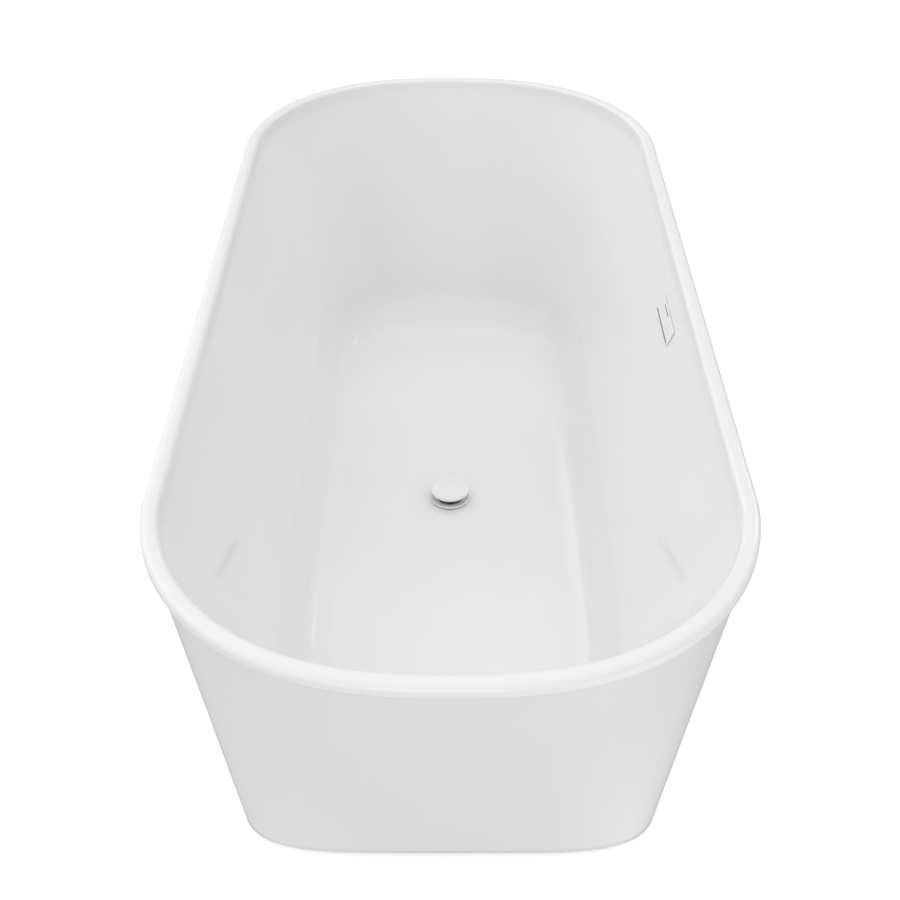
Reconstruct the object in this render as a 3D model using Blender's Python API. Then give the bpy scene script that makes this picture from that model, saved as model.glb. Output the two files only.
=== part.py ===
"""Freestanding acrylic bathtub, built as an assembly of separate pieces.

Frame: +Z up, +Y along the bath, origin on the floor under the middle of the bath.
The overflow is on the +X wall, the waste is in the middle of the bath's floor.
Units: metres.
"""
import math

import bmesh
import bpy
from mathutils import Matrix, Vector

# ---------------------------------------------------------------- driving dimensions
LENGTH = 1.700            # over the rim
WIDTH = 0.780             # over the rim
HEIGHT = 0.580            # floor to the top of the rim
HALF_L = LENGTH / 2
HALF_W = WIDTH / 2

GAP = 0.0003              # clearance between pieces that touch

# plan of the rim: straight sides, then a flattened half-oval at each end
RIM_STRAIGHT = 0.525      # half-length of the straight side
RIM_NX = 2.505            # fullness of the end curve across the bath
RIM_NY = 1.915            # fullness of the end curve along the bath

# plan of the skirt where it meets the floor: a rounded rectangle
BASE_HALF_L = 0.653
BASE_HALF_W = 0.3128
BASE_STRAIGHT = 0.522
BASE_NX = 5.0
BASE_NY = 3.35

SHELL_T = 0.005           # acrylic of the inner bath
SKIRT_T = 0.004           # acrylic of the outer skirt
RIM_WIDTH = 0.0235        # rim seen from above, outer edge to inner band
RIM_R_OUT = 0.008
RIM_R_IN = 0.0065
LIP_H = 0.017             # height of the turned-down lip
LIP_T = 0.004
SKIRT_INSET = 0.0075      # skirt's outer face behind the lip's outer edge
SKIRT_TOP = 0.568
SKIRT_BOTTOM = 0.004
CREASE_Z = 0.5520         # foot of the upright inner band
CREASE_INSET = 0.0242     # behind the lip's outer edge, on the long sides
CREASE_INSET_END = 0.0290  # the same at the ends, where the band leans in more

FLOOR_Z = 0.136           # bath floor at the waste
FLOOR_EDGE_Z = 0.1385     # bath floor where it starts to turn up
FLOOR_UNDER = FLOOR_Z - 0.0045

# inner wall below the band: height, half-width, half-length
WALL = (
    (CREASE_Z, HALF_W - CREASE_INSET, HALF_L - CREASE_INSET_END),
    (0.495, 0.3445, 0.7905),
    (0.420, 0.3165, 0.7480),
    (0.330, 0.2890, 0.6960),
    (0.240, 0.2620, 0.6400),
    (0.184, 0.2440, 0.6000),
    (0.156, 0.2255, 0.5620),
    (0.1425, 0.1980, 0.5180),
    (FLOOR_EDGE_Z, 0.1600, 0.4650),
)
FLOOR_STRAIGHT = 0.340
FLOOR_NX = 3.0
FLOOR_NY = 2.5

DRAIN_HOLE_R = 0.030

# waste
FLANGE_R = 0.0360
NECK_R = 0.0250
NECK_BORE_R = 0.0225
CAP_R = 0.0340
STOPPER_TRAVEL = 0.0115

# frame
TUBE = 0.025
TUBE_WALL = 0.002
BOARD_T = 0.0122
BOARD_TOP = FLOOR_UNDER - GAP
BOARD_BOTTOM = BOARD_TOP - BOARD_T
RAIL_TOP = BOARD_BOTTOM - GAP
RAIL_BOTTOM = RAIL_TOP - TUBE
RAIL_X = 0.165
RAIL_HALF = 0.560
CROSS_Y = (-0.530, -0.200, 0.200, 0.530)
FOOT_Y = 0.460
SCREW_Y = (-0.360, -0.120, 0.120, 0.360)

# levelling feet
PAD_R = 0.0240
PAD_H = 0.0120
STUD_R = 0.0056
STUD_HOLE_R = 0.0061
STUD_TOP = 0.1050

# overflow
OVERFLOW_Z = 0.5102
OVERFLOW_LEN = 0.117
OVERFLOW_H = 0.029
NOTCH_Y = 0.0115         # middle of the cover's upper notch along the bath
HOSE_R = 0.0110
HOSE_BORE_R = 0.0090
PORT_Z = 0.078

STRAIGHT_SEGS = 3         # segments of a plan loop's straight part, per quarter
CURVE_SEGS = 11           # segments of its end curve, per quarter

COLL = bpy.context.scene.collection


# ---------------------------------------------------------------- scene and materials
for ob in list(bpy.data.objects):
    bpy.data.objects.remove(ob, do_unlink=True)

MATERIALS = {}


def material(name, colour, roughness, metallic=0.0):
    if name not in MATERIALS:
        m = bpy.data.materials.new(name)
        m.use_nodes = True
        m.diffuse_color = (*colour, 1.0)
        p = m.node_tree.nodes["Principled BSDF"]
        p.inputs["Base Color"].default_value = (*colour, 1.0)
        p.inputs["Roughness"].default_value = roughness
        p.inputs["Metallic"].default_value = metallic
        MATERIALS[name] = m
    return MATERIALS[name]


ACRYLIC = ("acrylic_white", (0.92, 0.92, 0.92), 0.08)
SEALANT = ("sealant_white", (0.85, 0.85, 0.84), 0.5)
PLY = ("plywood", (0.62, 0.45, 0.27), 0.7)
ZINC = ("zinc_plated_steel", (0.66, 0.67, 0.68), 0.35, 1.0)
NUTSTEEL = ("nut_steel", (0.56, 0.57, 0.60), 0.3, 1.0)
FOOT = ("foot_nylon", (0.05, 0.05, 0.055), 0.55)
CHROME = ("chrome", (0.82, 0.82, 0.83), 0.06, 1.0)
ENAMEL = ("white_enamel", (0.90, 0.90, 0.90), 0.12)
BRASS = ("brass", (0.72, 0.55, 0.27), 0.3, 1.0)
RUBBER = ("black_rubber", (0.03, 0.03, 0.03), 0.7)
SILICONE = ("pale_silicone", (0.80, 0.80, 0.78), 0.45)
PIPE = ("white_pipe", (0.86, 0.86, 0.85), 0.35)
GREY_PLASTIC = ("grey_pipe", (0.42, 0.43, 0.44), 0.45)
SPRING = ("spring_steel", (0.55, 0.56, 0.58), 0.28, 1.0)


def finish(name, bm, mat, sharp_deg=35.0, location=(0, 0, 0), rotation=None, parent=None):
    bmesh.ops.recalc_face_normals(bm, faces=bm.faces)
    me = bpy.data.meshes.new(name)
    bm.to_mesh(me)
    bm.free()
    return place(name, me, mat, sharp_deg, location, rotation, parent)


def place(name, me, mat, sharp_deg=35.0, location=(0, 0, 0), rotation=None, parent=None):
    ob = bpy.data.objects.new(name, me)
    COLL.objects.link(ob)
    if not me.materials:
        me.materials.append(material(*mat))
    me.shade_smooth()
    me.set_sharp_from_angle(angle=math.radians(sharp_deg))
    ob.location = location
    if rotation is not None:
        ob.rotation_euler = rotation
    if parent is not None:
        ob.parent = parent
    return ob


def empty(name, location):
    e = bpy.data.objects.new(name, None)
    e.empty_display_size = 0.03
    e.location = location
    COLL.objects.link(e)
    return e


def cutter(ob):
    ob.hide_render = True
    ob.display_type = "WIRE"
    return ob


def boolean(ob, other, operation):
    m = ob.modifiers.new(operation.lower(), "BOOLEAN")
    m.operation = operation
    m.solver = "EXACT"
    m.object = other
    return m


# ---------------------------------------------------------------- plan loops and lofts
def quarter(a, b, s, nx, ny, k1=STRAIGHT_SEGS, k2=CURVE_SEGS):
    """Points of one quarter of a plan loop, from (b, 0) to (0, a), the last left out."""
    pts = [(b, s * i / k1) for i in range(k1)]
    fine = 240
    curve = []
    for i in range(fine + 1):
        t = (math.pi / 2) * i / fine
        curve.append((b * max(math.cos(t), 0.0) ** (2 / nx), s + (a - s) * math.sin(t) ** (2 / ny)))
    curve[-1] = (0.0, a)
    run = [0.0]
    for p, q in zip(curve, curve[1:]):
        run.append(run[-1] + math.hypot(q[0] - p[0], q[1] - p[1]))
    j = 0
    for i in range(k2):
        want = run[-1] * i / k2
        while run[j + 1] < want:
            j += 1
        f = (want - run[j]) / (run[j + 1] - run[j])
        p, q = curve[j], curve[j + 1]
        pts.append((p[0] + f * (q[0] - p[0]), p[1] + f * (q[1] - p[1])))
    return pts


def mirrored(q, end):
    """Whole loop from the points of its first quarter and the point at (0, end)."""
    first = q + [(0.0, end)]
    loop = list(first)
    loop += [(-x, y) for x, y in reversed(first[:-1])]
    loop += [(-x, -y) for x, y in first[1:]]
    loop += [(x, -y) for x, y in reversed(first[1:-1])]
    return loop


def plan_loop(a, b, s, nx, ny, z):
    return [Vector((x, y, z)) for x, y in mirrored(quarter(a, b, s, nx, ny), a)]


def rim_loop(inset, z):
    return plan_loop(HALF_L - inset, HALF_W - inset, RIM_STRAIGHT, RIM_NX, RIM_NY, z)


def loft(bm, loops, ring=True):
    rows = [[bm.verts.new(p) for p in loop] for loop in loops]
    n = len(rows[0])
    pairs = list(zip(rows, rows[1:] + rows[:1])) if ring else list(zip(rows, rows[1:]))
    for r0, r1 in pairs:
        for i in range(n):
            j = (i + 1) % n
            bm.faces.new((r0[i], r0[j], r1[j], r1[i]))
    return rows


def spline(table, steps):
    """Smooth run of (z, b, a) rows through the table, chord-spaced cubic with end tangents."""
    pts = [Vector(p) for p in table]
    out = []
    tang = []
    for i, p in enumerate(pts):
        if i == 0:
            tang.append((pts[1] - p).normalized())
        elif i == len(pts) - 1:
            tang.append((p - pts[i - 1]).normalized())
        else:
            d0, d1 = p - pts[i - 1], pts[i + 1] - p
            l0, l1 = d0.length, d1.length
            tang.append((d0 / l0 * l1 + d1 / l1 * l0).normalized())
    for i in range(len(pts) - 1):
        p, q = pts[i], pts[i + 1]
        length = (q - p).length
        for k in range(steps[i]):
            t = k / steps[i]
            h00 = 2 * t ** 3 - 3 * t ** 2 + 1
            h10 = t ** 3 - 2 * t ** 2 + t
            h01 = -2 * t ** 3 + 3 * t ** 2
            h11 = t ** 3 - t ** 2
            out.append(p * h00 + tang[i] * length * h10 + q * h01 + tang[i + 1] * length * h11)
    out.append(pts[-1])
    return out


def inner_wall(steps=(2, 2, 2, 2, 1, 1, 1, 1)):
    """Rows (z, half-width, half-length) of the bath's inner wall, band foot to floor."""
    return spline(WALL, steps)


def blend(z):
    """0 at the band's foot, 1 at the bath's floor: how far the plan has turned rectangular."""
    f = (CREASE_Z - z) / (CREASE_Z - FLOOR_EDGE_Z)
    return max(0.0, min(1.0, f))


def wall_loop(z, b, a, dz=0.0):
    f = blend(z)
    s = RIM_STRAIGHT + (FLOOR_STRAIGHT - RIM_STRAIGHT) * f
    nx = RIM_NX + (FLOOR_NX - RIM_NX) * f
    ny = RIM_NY + (FLOOR_NY - RIM_NY) * f
    return plan_loop(a, b, s, nx, ny, z + dz)


def shell_half_width(z):
    """Half-width of the bath's inner surface at height z on its straight side."""
    rows = inner_wall((12,) * 8)
    for p, q in zip(rows, rows[1:]):
        if p[0] >= z >= q[0]:
            f = (p[0] - z) / (p[0] - q[0])
            return p[1] + f * (q[1] - p[1])
    return rows[-1][1]


def skirt_half_width(z):
    """Half-width of the skirt's outer surface at height z."""
    f = (SKIRT_TOP - z) / (SKIRT_TOP - SKIRT_BOTTOM)
    return (HALF_W - SKIRT_INSET) * (1 - f) + BASE_HALF_W * f


def arc(cx, cz, r, a0, a1, n):
    return [(cx + r * math.cos(math.radians(a0 + (a1 - a0) * i / n)),
             cz + r * math.sin(math.radians(a0 + (a1 - a0) * i / n))) for i in range(n + 1)]


# ---------------------------------------------------------------- turned, hexagonal and tube shapes
def turned(name, profile, mat, seg=24, axis="Z", location=(0, 0, 0), rotation=None,
           parent=None, sharp=35.0, hollow=True):
    """Turned piece from a closed (radius, height) outline, spun about its own Z axis."""
    bm = bmesh.new()
    verts = [bm.verts.new((r, 0.0, z)) for r, z in profile]
    edges = [bm.edges.new((verts[i], verts[i + 1])) for i in range(len(verts) - 1)]
    if hollow:
        edges.append(bm.edges.new((verts[-1], verts[0])))
    bmesh.ops.spin(bm, geom=verts + edges, cent=(0, 0, 0), axis=(0, 0, 1),
                   angle=2 * math.pi, steps=seg, use_duplicate=False)
    bmesh.ops.remove_doubles(bm, verts=bm.verts, dist=0.000001)
    if axis == "X":
        bmesh.ops.rotate(bm, verts=bm.verts, cent=(0, 0, 0), matrix=Matrix.Rotation(math.pi / 2, 3, "Y"))
    return finish(name, bm, mat, sharp, location, rotation, parent)


def hex_nut(name, flats, bore_r, z0, z1, mat, location=(0, 0, 0), rotation=None, parent=None):
    """Hexagonal nut with a round bore, 24 points round each loop."""
    n = 24
    outer, inner = [], []
    apothem = flats / 2
    for i in range(n):
        t = 2 * math.pi * i / n
        local = (t + math.pi / 6) % (math.pi / 3) - math.pi / 6
        r = apothem / math.cos(local)
        outer.append((r * math.cos(t), r * math.sin(t)))
        inner.append((bore_r * math.cos(t), bore_r * math.sin(t)))
    ch = min(0.0008, (z1 - z0) * 0.15)
    loops = [
        [Vector((x * 0.94, y * 0.94, z0)) for x, y in outer],
        [Vector((x, y, z0 + ch)) for x, y in outer],
        [Vector((x, y, z1 - ch)) for x, y in outer],
        [Vector((x * 0.94, y * 0.94, z1)) for x, y in outer],
        [Vector((x, y, z1)) for x, y in inner],
        [Vector((x, y, z0)) for x, y in inner],
    ]
    bm = bmesh.new()
    loft(bm, loops)
    return finish(name, bm, mat, 25.0, location, rotation, parent)


def rounded_square(half, r, n=3):
    pts = []
    for k in range(4):
        cx = (half - r) * (1 if k in (0, 3) else -1)
        cy = (half - r) * (1 if k in (0, 1) else -1)
        for i in range(n):
            t = math.radians(90 * k + 90 * i / (n - 1))
            pts.append((cx + r * math.cos(t), cy + r * math.sin(t)))
    return pts


def square_tube(name, half_len, mat, along="Y", location=(0, 0, 0)):
    """Square hollow section, open at both ends, centred on its own origin."""
    outer = rounded_square(TUBE / 2, 0.003)
    inner = rounded_square(TUBE / 2 - TUBE_WALL, 0.0012)

    def at(loop, u):
        if along == "Y":
            return [Vector((p, u, q)) for p, q in loop]
        return [Vector((u, p, q)) for p, q in loop]

    bm = bmesh.new()
    loft(bm, [at(outer, -half_len), at(outer, half_len), at(inner, half_len), at(inner, -half_len)])
    return finish(name, bm, mat, 40.0, location)


def cylinder_cutter(name, r, length, location, rotation=(0, 0, 0), seg=24, top=None):
    bm = bmesh.new()
    bmesh.ops.create_cone(bm, cap_ends=True, segments=seg, radius1=r, radius2=top or r, depth=length)
    return cutter(finish(name, bm, NUTSTEEL, location=location, rotation=rotation))


def solid_box(name, size, mat, location=(0, 0, 0), rotation=None, bevel=0.0):
    bm = bmesh.new()
    bmesh.ops.create_cube(bm, size=1.0)
    bmesh.ops.scale(bm, vec=size, verts=bm.verts)
    if bevel:
        bmesh.ops.bevel(bm, geom=list(bm.edges), offset=bevel, segments=2, affect="EDGES", profile=0.5)
    return finish(name, bm, mat, 35.0, location, rotation)


def sweep_tube(name, path, r_out, r_in, sides, mat, closed_core=False):
    """Tube along a path of points; hollow with open ends, or solid with flat ends."""
    n = len(path)
    tangents = []
    for i in range(n):
        a = path[max(i - 1, 0)]
        b = path[min(i + 1, n - 1)]
        tangents.append((b - a).normalized())
    up = Vector((0, 1, 0)) if abs(tangents[0].y) < 0.9 else Vector((1, 0, 0))
    side = tangents[0].cross(up).normalized()
    outer, inner = [], []
    for p, t in zip(path, tangents):
        side = (side - t * side.dot(t)).normalized()
        other = t.cross(side)
        ring_o, ring_i = [], []
        for k in range(sides):
            w = 2 * math.pi * k / sides
            d = side * math.cos(w) + other * math.sin(w)
            ring_o.append(p + d * r_out)
            ring_i.append(p + d * r_in)
        outer.append(ring_o)
        inner.append(ring_i)
    bm = bmesh.new()
    if closed_core:
        rows = loft(bm, outer, ring=False)
        bm.faces.new(list(reversed(rows[0])))
        bm.faces.new(rows[-1])
    else:
        loft(bm, outer + list(reversed(inner)))
    return finish(name, bm, mat, 50.0)


def smooth_path(knots, per):
    """Centripetal Catmull-Rom curve through the knots."""
    pts = [Vector(k) for k in knots]
    ext = [pts[0] * 2 - pts[1]] + pts + [pts[-1] * 2 - pts[-2]]
    out = []
    for i in range(1, len(ext) - 2):
        p0, p1, p2, p3 = ext[i - 1:i + 3]
        t0 = 0.0
        t1 = t0 + (p1 - p0).length ** 0.5
        t2 = t1 + (p2 - p1).length ** 0.5
        t3 = t2 + (p3 - p2).length ** 0.5
        for k in range(per):
            t = t1 + (t2 - t1) * k / per
            a1 = p0 * ((t1 - t) / (t1 - t0)) + p1 * ((t - t0) / (t1 - t0))
            a2 = p1 * ((t2 - t) / (t2 - t1)) + p2 * ((t - t1) / (t2 - t1))
            a3 = p2 * ((t3 - t) / (t3 - t2)) + p3 * ((t - t2) / (t3 - t2))
            b1 = a1 * ((t2 - t) / (t2 - t0)) + a2 * ((t - t0) / (t2 - t0))
            b2 = a2 * ((t3 - t) / (t3 - t1)) + a3 * ((t - t1) / (t3 - t1))
            out.append(b1 * ((t2 - t) / (t2 - t1)) + b2 * ((t - t1) / (t2 - t1)))
    out.append(pts[-1])
    return out


# ---------------------------------------------------------------- the inner bath
def drain_ring(edge_loop, r, z):
    """Circle whose points lie on the same bearings as the floor-edge loop's points."""
    out = []
    for p in edge_loop:
        w = math.atan2(p.y, p.x)
        out.append(Vector((r * math.cos(w), r * math.sin(w), z)))
    return out


def make_basin():
    band_inset = RIM_WIDTH
    loops = []
    # visible side: lip, rim, band, wall, floor
    loops.append(rim_loop(0.0008, HEIGHT - LIP_H))
    loops.append(rim_loop(0.0, HEIGHT - LIP_H + 0.002))
    for d, z in arc(RIM_R_OUT, HEIGHT - RIM_R_OUT, RIM_R_OUT, 180, 90, 4):
        loops.append(rim_loop(d, z))
    for d, z in arc(band_inset - RIM_R_IN, HEIGHT - RIM_R_IN, RIM_R_IN, 90, 0, 4):
        loops.append(rim_loop(d, z))
    rows = inner_wall()
    for z, b, a in rows:
        loops.append(wall_loop(z, b, a))
    edge = loops[-1]
    half_way = [p.lerp(q, 0.5) for p, q in zip(edge, drain_ring(edge, 0.046, FLOOR_Z))]
    loops.append(half_way)
    loops.append(drain_ring(edge, 0.046, FLOOR_Z))
    loops.append(drain_ring(edge, DRAIN_HOLE_R, FLOOR_Z))
    # hidden side, floor to lip, one shell thickness behind
    loops.append(drain_ring(edge, DRAIN_HOLE_R, FLOOR_UNDER))
    back = []
    for i, (z, b, a) in enumerate(rows):
        p = rows[max(i - 1, 0)]
        q = rows[min(i + 1, len(rows) - 1)]
        dz, db = p[0] - q[0], (p[1] - q[1])
        length = math.hypot(dz, db)
        out, down = SHELL_T * dz / length, SHELL_T * db / length
        zz = max(z - down, FLOOR_UNDER)
        f_row = (z, b + out, a + out, zz - z)
        back.append(f_row)
    back[-1] = (rows[-1][0], rows[-1][1] + 0.002, rows[-1][2] + 0.002, FLOOR_UNDER - rows[-1][0])
    for z, b, a, dz in reversed(back):
        loops.append(wall_loop(z, b, a, dz))
    loops.append(rim_loop(band_inset - SHELL_T, HEIGHT - 0.007))
    loops.append(rim_loop(band_inset - SHELL_T - 0.0018, HEIGHT - 0.005))
    loops.append(rim_loop(LIP_T + 0.0018, HEIGHT - 0.005))
    loops.append(rim_loop(LIP_T, HEIGHT - 0.007))
    loops.append(rim_loop(LIP_T - 0.0004, HEIGHT - LIP_H))
    bm = bmesh.new()
    loft(bm, loops)
    ob = finish("basin_shell", bm, ACRYLIC, 60.0)
    return ob


basin = make_basin()

# overflow place on the +X wall
z_lo, z_hi = OVERFLOW_Z - OVERFLOW_H / 2, OVERFLOW_Z + OVERFLOW_H / 2
x_lo, x_hi = shell_half_width(z_lo), shell_half_width(z_hi)
WALL_TILT = math.atan2(x_hi - x_lo, z_hi - z_lo)
OVERFLOW_C = Vector((shell_half_width(OVERFLOW_Z), 0.0, OVERFLOW_Z))
ALONG_WALL = Vector((math.sin(WALL_TILT), 0, math.cos(WALL_TILT)))      # up the wall
INTO_BATH = Vector((-math.cos(WALL_TILT), 0, math.sin(WALL_TILT)))      # out of the wall
# local frame of the overflow: X into the wall, Y along the bath, Z up the wall
OVERFLOW_ROT = (0.0, WALL_TILT, 0.0)
SLOT_DROP = -0.007        # the wall's opening sits a little below the cover's middle
mouth_c = OVERFLOW_C + ALONG_WALL * SLOT_DROP
mouth_cut = cutter(solid_box("overflow_mouth_cut", (0.03, 0.092, 0.010), NUTSTEEL,
                             location=mouth_c, rotation=OVERFLOW_ROT))
boolean(basin, mouth_cut, "DIFFERENCE")


# ---------------------------------------------------------------- the outer skirt and its seam
def skirt_loop(f, inset):
    """Loop of the skirt at the fraction f of its height from the top, inset from its outer face."""
    top = rim_loop(SKIRT_INSET + inset, SKIRT_TOP)
    foot = plan_loop(BASE_HALF_L - inset, BASE_HALF_W - inset, BASE_STRAIGHT, BASE_NX, BASE_NY,
                     SKIRT_BOTTOM)
    return [p.lerp(q, f) for p, q in zip(top, foot)]


def make_skirt():
    bm = bmesh.new()
    fr = (0.0, 0.25, 0.5, 0.75, 1.0)
    loops = [skirt_loop(f, 0.0) for f in fr] + [skirt_loop(f, SKIRT_T) for f in reversed(fr)]
    loft(bm, loops)
    return finish("outer_skirt", bm, ACRYLIC, 50.0)


make_skirt()


def make_seam():
    z0, z1 = SKIRT_TOP + GAP, HEIGHT - 0.005 - GAP
    i0, i1 = SKIRT_INSET - 0.0005, SKIRT_INSET + SKIRT_T - 0.0008
    bm = bmesh.new()
    loft(bm, [rim_loop(i0, z0), rim_loop(i0, z1), rim_loop(i1, z1), rim_loop(i1, z0)])
    return finish("rim_bond_bead", bm, SEALANT, 40.0)


make_seam()

# ---------------------------------------------------------------- floor board and steel frame
board = solid_box("floor_board", (0.380, 0.900, BOARD_T), PLY,
                  location=(0, 0, (BOARD_TOP + BOARD_BOTTOM) / 2), bevel=0.0015)
boolean(board, cylinder_cutter("board_waste_cut", 0.055, 0.05, (0, 0, BOARD_TOP), seg=32), "DIFFERENCE")

rail_z = (RAIL_TOP + RAIL_BOTTOM) / 2
rails = {}
for side, sx in (("left", -1), ("right", 1)):
    rails[side] = square_tube("frame_rail_" + side, RAIL_HALF, ZINC, "Y", (sx * RAIL_X, 0, rail_z))

cross_half = RAIL_X - TUBE / 2 - GAP
for tag, y in zip(("front", "mid_front", "mid_rear", "rear"), CROSS_Y):
    square_tube("frame_crossbar_" + tag, cross_half, ZINC, "X", (0, y, rail_z))

# screws that hold the board on the rails: head inside the tube, reached by a hole below
screw_no = 0
screw_mesh = None
for side, sx in (("left", -1), ("right", 1)):
    for y in SCREW_Y:
        screw_no += 1
        x = sx * RAIL_X
        head_top = RAIL_TOP - TUBE_WALL - GAP
        boolean(rails[side], cylinder_cutter("screw_access_cut_%d" % screw_no, 0.0065, 0.010,
                                             (x, y, RAIL_BOTTOM), seg=16), "DIFFERENCE")
        boolean(rails[side], cylinder_cutter("screw_hole_cut_%d" % screw_no, 0.0024, 0.008,
                                             (x, y, RAIL_TOP), seg=12), "DIFFERENCE")
        boolean(board, cylinder_cutter("screw_pilot_cut_%d" % screw_no, 0.0024, 0.0201,
                                       (x, y, BOARD_BOTTOM), seg=12), "DIFFERENCE")
        name = "board_screw_%s_%d" % (side, 1 + SCREW_Y.index(y))
        if screw_mesh is None:
            prof = [(0.0, -0.0026), (0.0032, -0.0024), (0.0042, -0.0010), (0.0042, 0.0),
                    (0.0020, 0.0), (0.0020, 0.0095), (0.0, 0.0120)]
            first = turned(name, prof, ZINC, seg=10, location=(x, y, head_top), hollow=False)
            screw_mesh = first.data
        else:
            place(name, screw_mesh, ZINC, location=(x, y, head_top))

# ---------------------------------------------------------------- levelling feet
pad_profile = [(0.0, 0.0), (PAD_R - 0.001, 0.0), (PAD_R, 0.0010), (PAD_R, 0.0045), (0.0150, 0.0095),
               (0.0110, PAD_H), (0.0084, PAD_H), (0.0084, 0.0050), (0.0, 0.0050)]
stud_profile = [(0.0, 0.0056), (0.0070, 0.0056), (0.0078, 0.0075), (0.0070, 0.0098), (STUD_R, 0.0112),
                (STUD_R, STUD_TOP - 0.0012), (STUD_R - 0.0012, STUD_TOP), (0.0, STUD_TOP)]
meshes = {}
for tag, sx, sy in (("front_left", -1, -1), ("front_right", 1, -1),
                    ("rear_left", -1, 1), ("rear_right", 1, 1)):
    x, y = sx * RAIL_X, sy * FOOT_Y
    side = "left" if sx < 0 else "right"
    axis_empty = empty("axis_foot_" + tag, (x, y, 0.0))
    if not meshes:
        pad = turned("foot_pad_" + tag, pad_profile, FOOT, seg=20, parent=axis_empty, hollow=False)
        stud = turned("foot_stud_" + tag, stud_profile, ZINC, seg=16, parent=axis_empty, hollow=False)
        weld = hex_nut("foot_weld_nut_" + tag, 0.019, STUD_HOLE_R, RAIL_BOTTOM - GAP - 0.008,
                       RAIL_BOTTOM - GAP, NUTSTEEL, location=(x, y, 0))
        lock = hex_nut("foot_lock_nut_" + tag, 0.018, STUD_HOLE_R, RAIL_BOTTOM - 3 * GAP - 0.015,
                       RAIL_BOTTOM - 2 * GAP - 0.0085, NUTSTEEL, location=(x, y, 0),
                       rotation=(0, 0, 0.35))
        meshes = {"pad": pad.data, "stud": stud.data, "weld": weld.data, "lock": lock.data}
    else:
        place("foot_pad_" + tag, meshes["pad"], FOOT, parent=axis_empty)
        place("foot_stud_" + tag, meshes["stud"], ZINC, parent=axis_empty)
        place("foot_weld_nut_" + tag, meshes["weld"], NUTSTEEL, 25.0, location=(x, y, 0))
        place("foot_lock_nut_" + tag, meshes["lock"], NUTSTEEL, 25.0, location=(x, y, 0),
              rotation=(0, 0, 0.35))
    boolean(rails[side], cylinder_cutter("stud_hole_cut_" + tag, 0.0070, 0.012,
                                         (x, y, RAIL_BOTTOM), seg=20), "DIFFERENCE")

# ---------------------------------------------------------------- pop-up waste
F = FLOOR_Z
turned("flange_gasket", [(0.0262, F + GAP), (0.0343, F + GAP), (0.0343, F + 0.0015), (0.0262, F + 0.0015)],
       RUBBER, seg=24)

NECK_END = F - 0.042
flange = turned("drain_flange", [
    (0.0255, F + 0.0018), (0.0352, F + 0.0018), (FLANGE_R, F + 0.0026), (0.0356, F + 0.0040),
    (0.0345, F + 0.0046), (0.0332, F + 0.0045), (0.0318, F + 0.0040), (0.0280, F + 0.0031),
    (0.0250, F + 0.0024), (NECK_BORE_R, F + 0.0004), (NECK_BORE_R, NECK_END), (NECK_R, NECK_END),
    (NECK_R, F + 0.0006), (0.0255, F + 0.0010)], ENAMEL, seg=28)
SPIDER_Z = F - 0.0280
for k, w in enumerate((0.0, math.pi / 2)):
    arm = solid_box("spider_arm_%d" % k, (2 * (NECK_BORE_R + 0.0012), 0.0036, 0.0045), CHROME,
                    location=(0, 0, SPIDER_Z), rotation=(0, 0, w))
    cutter(arm)
    boolean(flange, arm, "UNION")
boss = cutter(turned("spider_boss", [(0.0, SPIDER_Z - 0.004), (0.0085, SPIDER_Z - 0.004),
                                     (0.0085, SPIDER_Z + 0.004), (0.0, SPIDER_Z + 0.004)],
                     CHROME, seg=20, hollow=False))
boolean(flange, boss, "UNION")
boolean(flange, cylinder_cutter("spider_bore_cut", 0.0046, 0.03, (0, 0, SPIDER_Z), seg=20), "DIFFERENCE")

POST_BASE = SPIDER_Z + 0.004 + GAP
turned("cartridge_post", [
    (0.0, POST_BASE - 0.0105), (0.0036, POST_BASE - 0.0105), (0.0041, POST_BASE - 0.0095),
    (0.0041, POST_BASE), (0.0120, POST_BASE), (0.0120, POST_BASE + 0.0020),
    (0.0078, POST_BASE + 0.0026), (0.0078, F + 0.0018), (0.0072, F + 0.0026),
    (0.0058, F + 0.0026), (0.0058, POST_BASE + 0.0050), (0.0, POST_BASE + 0.0050)],
    BRASS, seg=20, hollow=False)

stopper_axis = empty("axis_stopper", (0, 0, F))
CAP_UNDER = 0.0165          # underside of the raised cap's edge above the bath floor
turned("stopper_cap", [
    (0.0, CAP_UNDER + 0.0080), (0.0120, CAP_UNDER + 0.0078), (0.0240, CAP_UNDER + 0.0068),
    (0.0310, CAP_UNDER + 0.0050), (0.0335, CAP_UNDER + 0.0034), (CAP_R, CAP_UNDER + 0.0016),
    (0.0334, CAP_UNDER), (0.0262, CAP_UNDER), (0.0262, CAP_UNDER + 0.0025),
    (0.0130, CAP_UNDER + 0.0035), (0.0130, CAP_UNDER - 0.0010), (0.0100, CAP_UNDER - 0.0010),
    (0.0100, CAP_UNDER + 0.0030), (0.0, CAP_UNDER + 0.0030)],
    ENAMEL, seg=28, parent=stopper_axis, hollow=False)
turned("stopper_seal", [
    (0.0268, CAP_UNDER - 0.0010), (0.0285, CAP_UNDER - 0.0015), (0.0300, CAP_UNDER - 0.0012),
    (0.0304, CAP_UNDER - GAP), (0.0266, CAP_UNDER - GAP)],
    SILICONE, seg=24, parent=stopper_axis)
stem_low = POST_BASE + 0.0050 + STOPPER_TRAVEL + 0.001 - F
turned("stopper_stem", [
    (0.0, stem_low), (0.0040, stem_low), (0.0052, stem_low + 0.0010), (0.0052, CAP_UNDER - 0.0020),
    (0.0095, CAP_UNDER - 0.0010), (0.0095, CAP_UNDER + 0.0026), (0.0, CAP_UNDER + 0.0026)],
    BRASS, seg=16, parent=stopper_axis, hollow=False)

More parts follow.
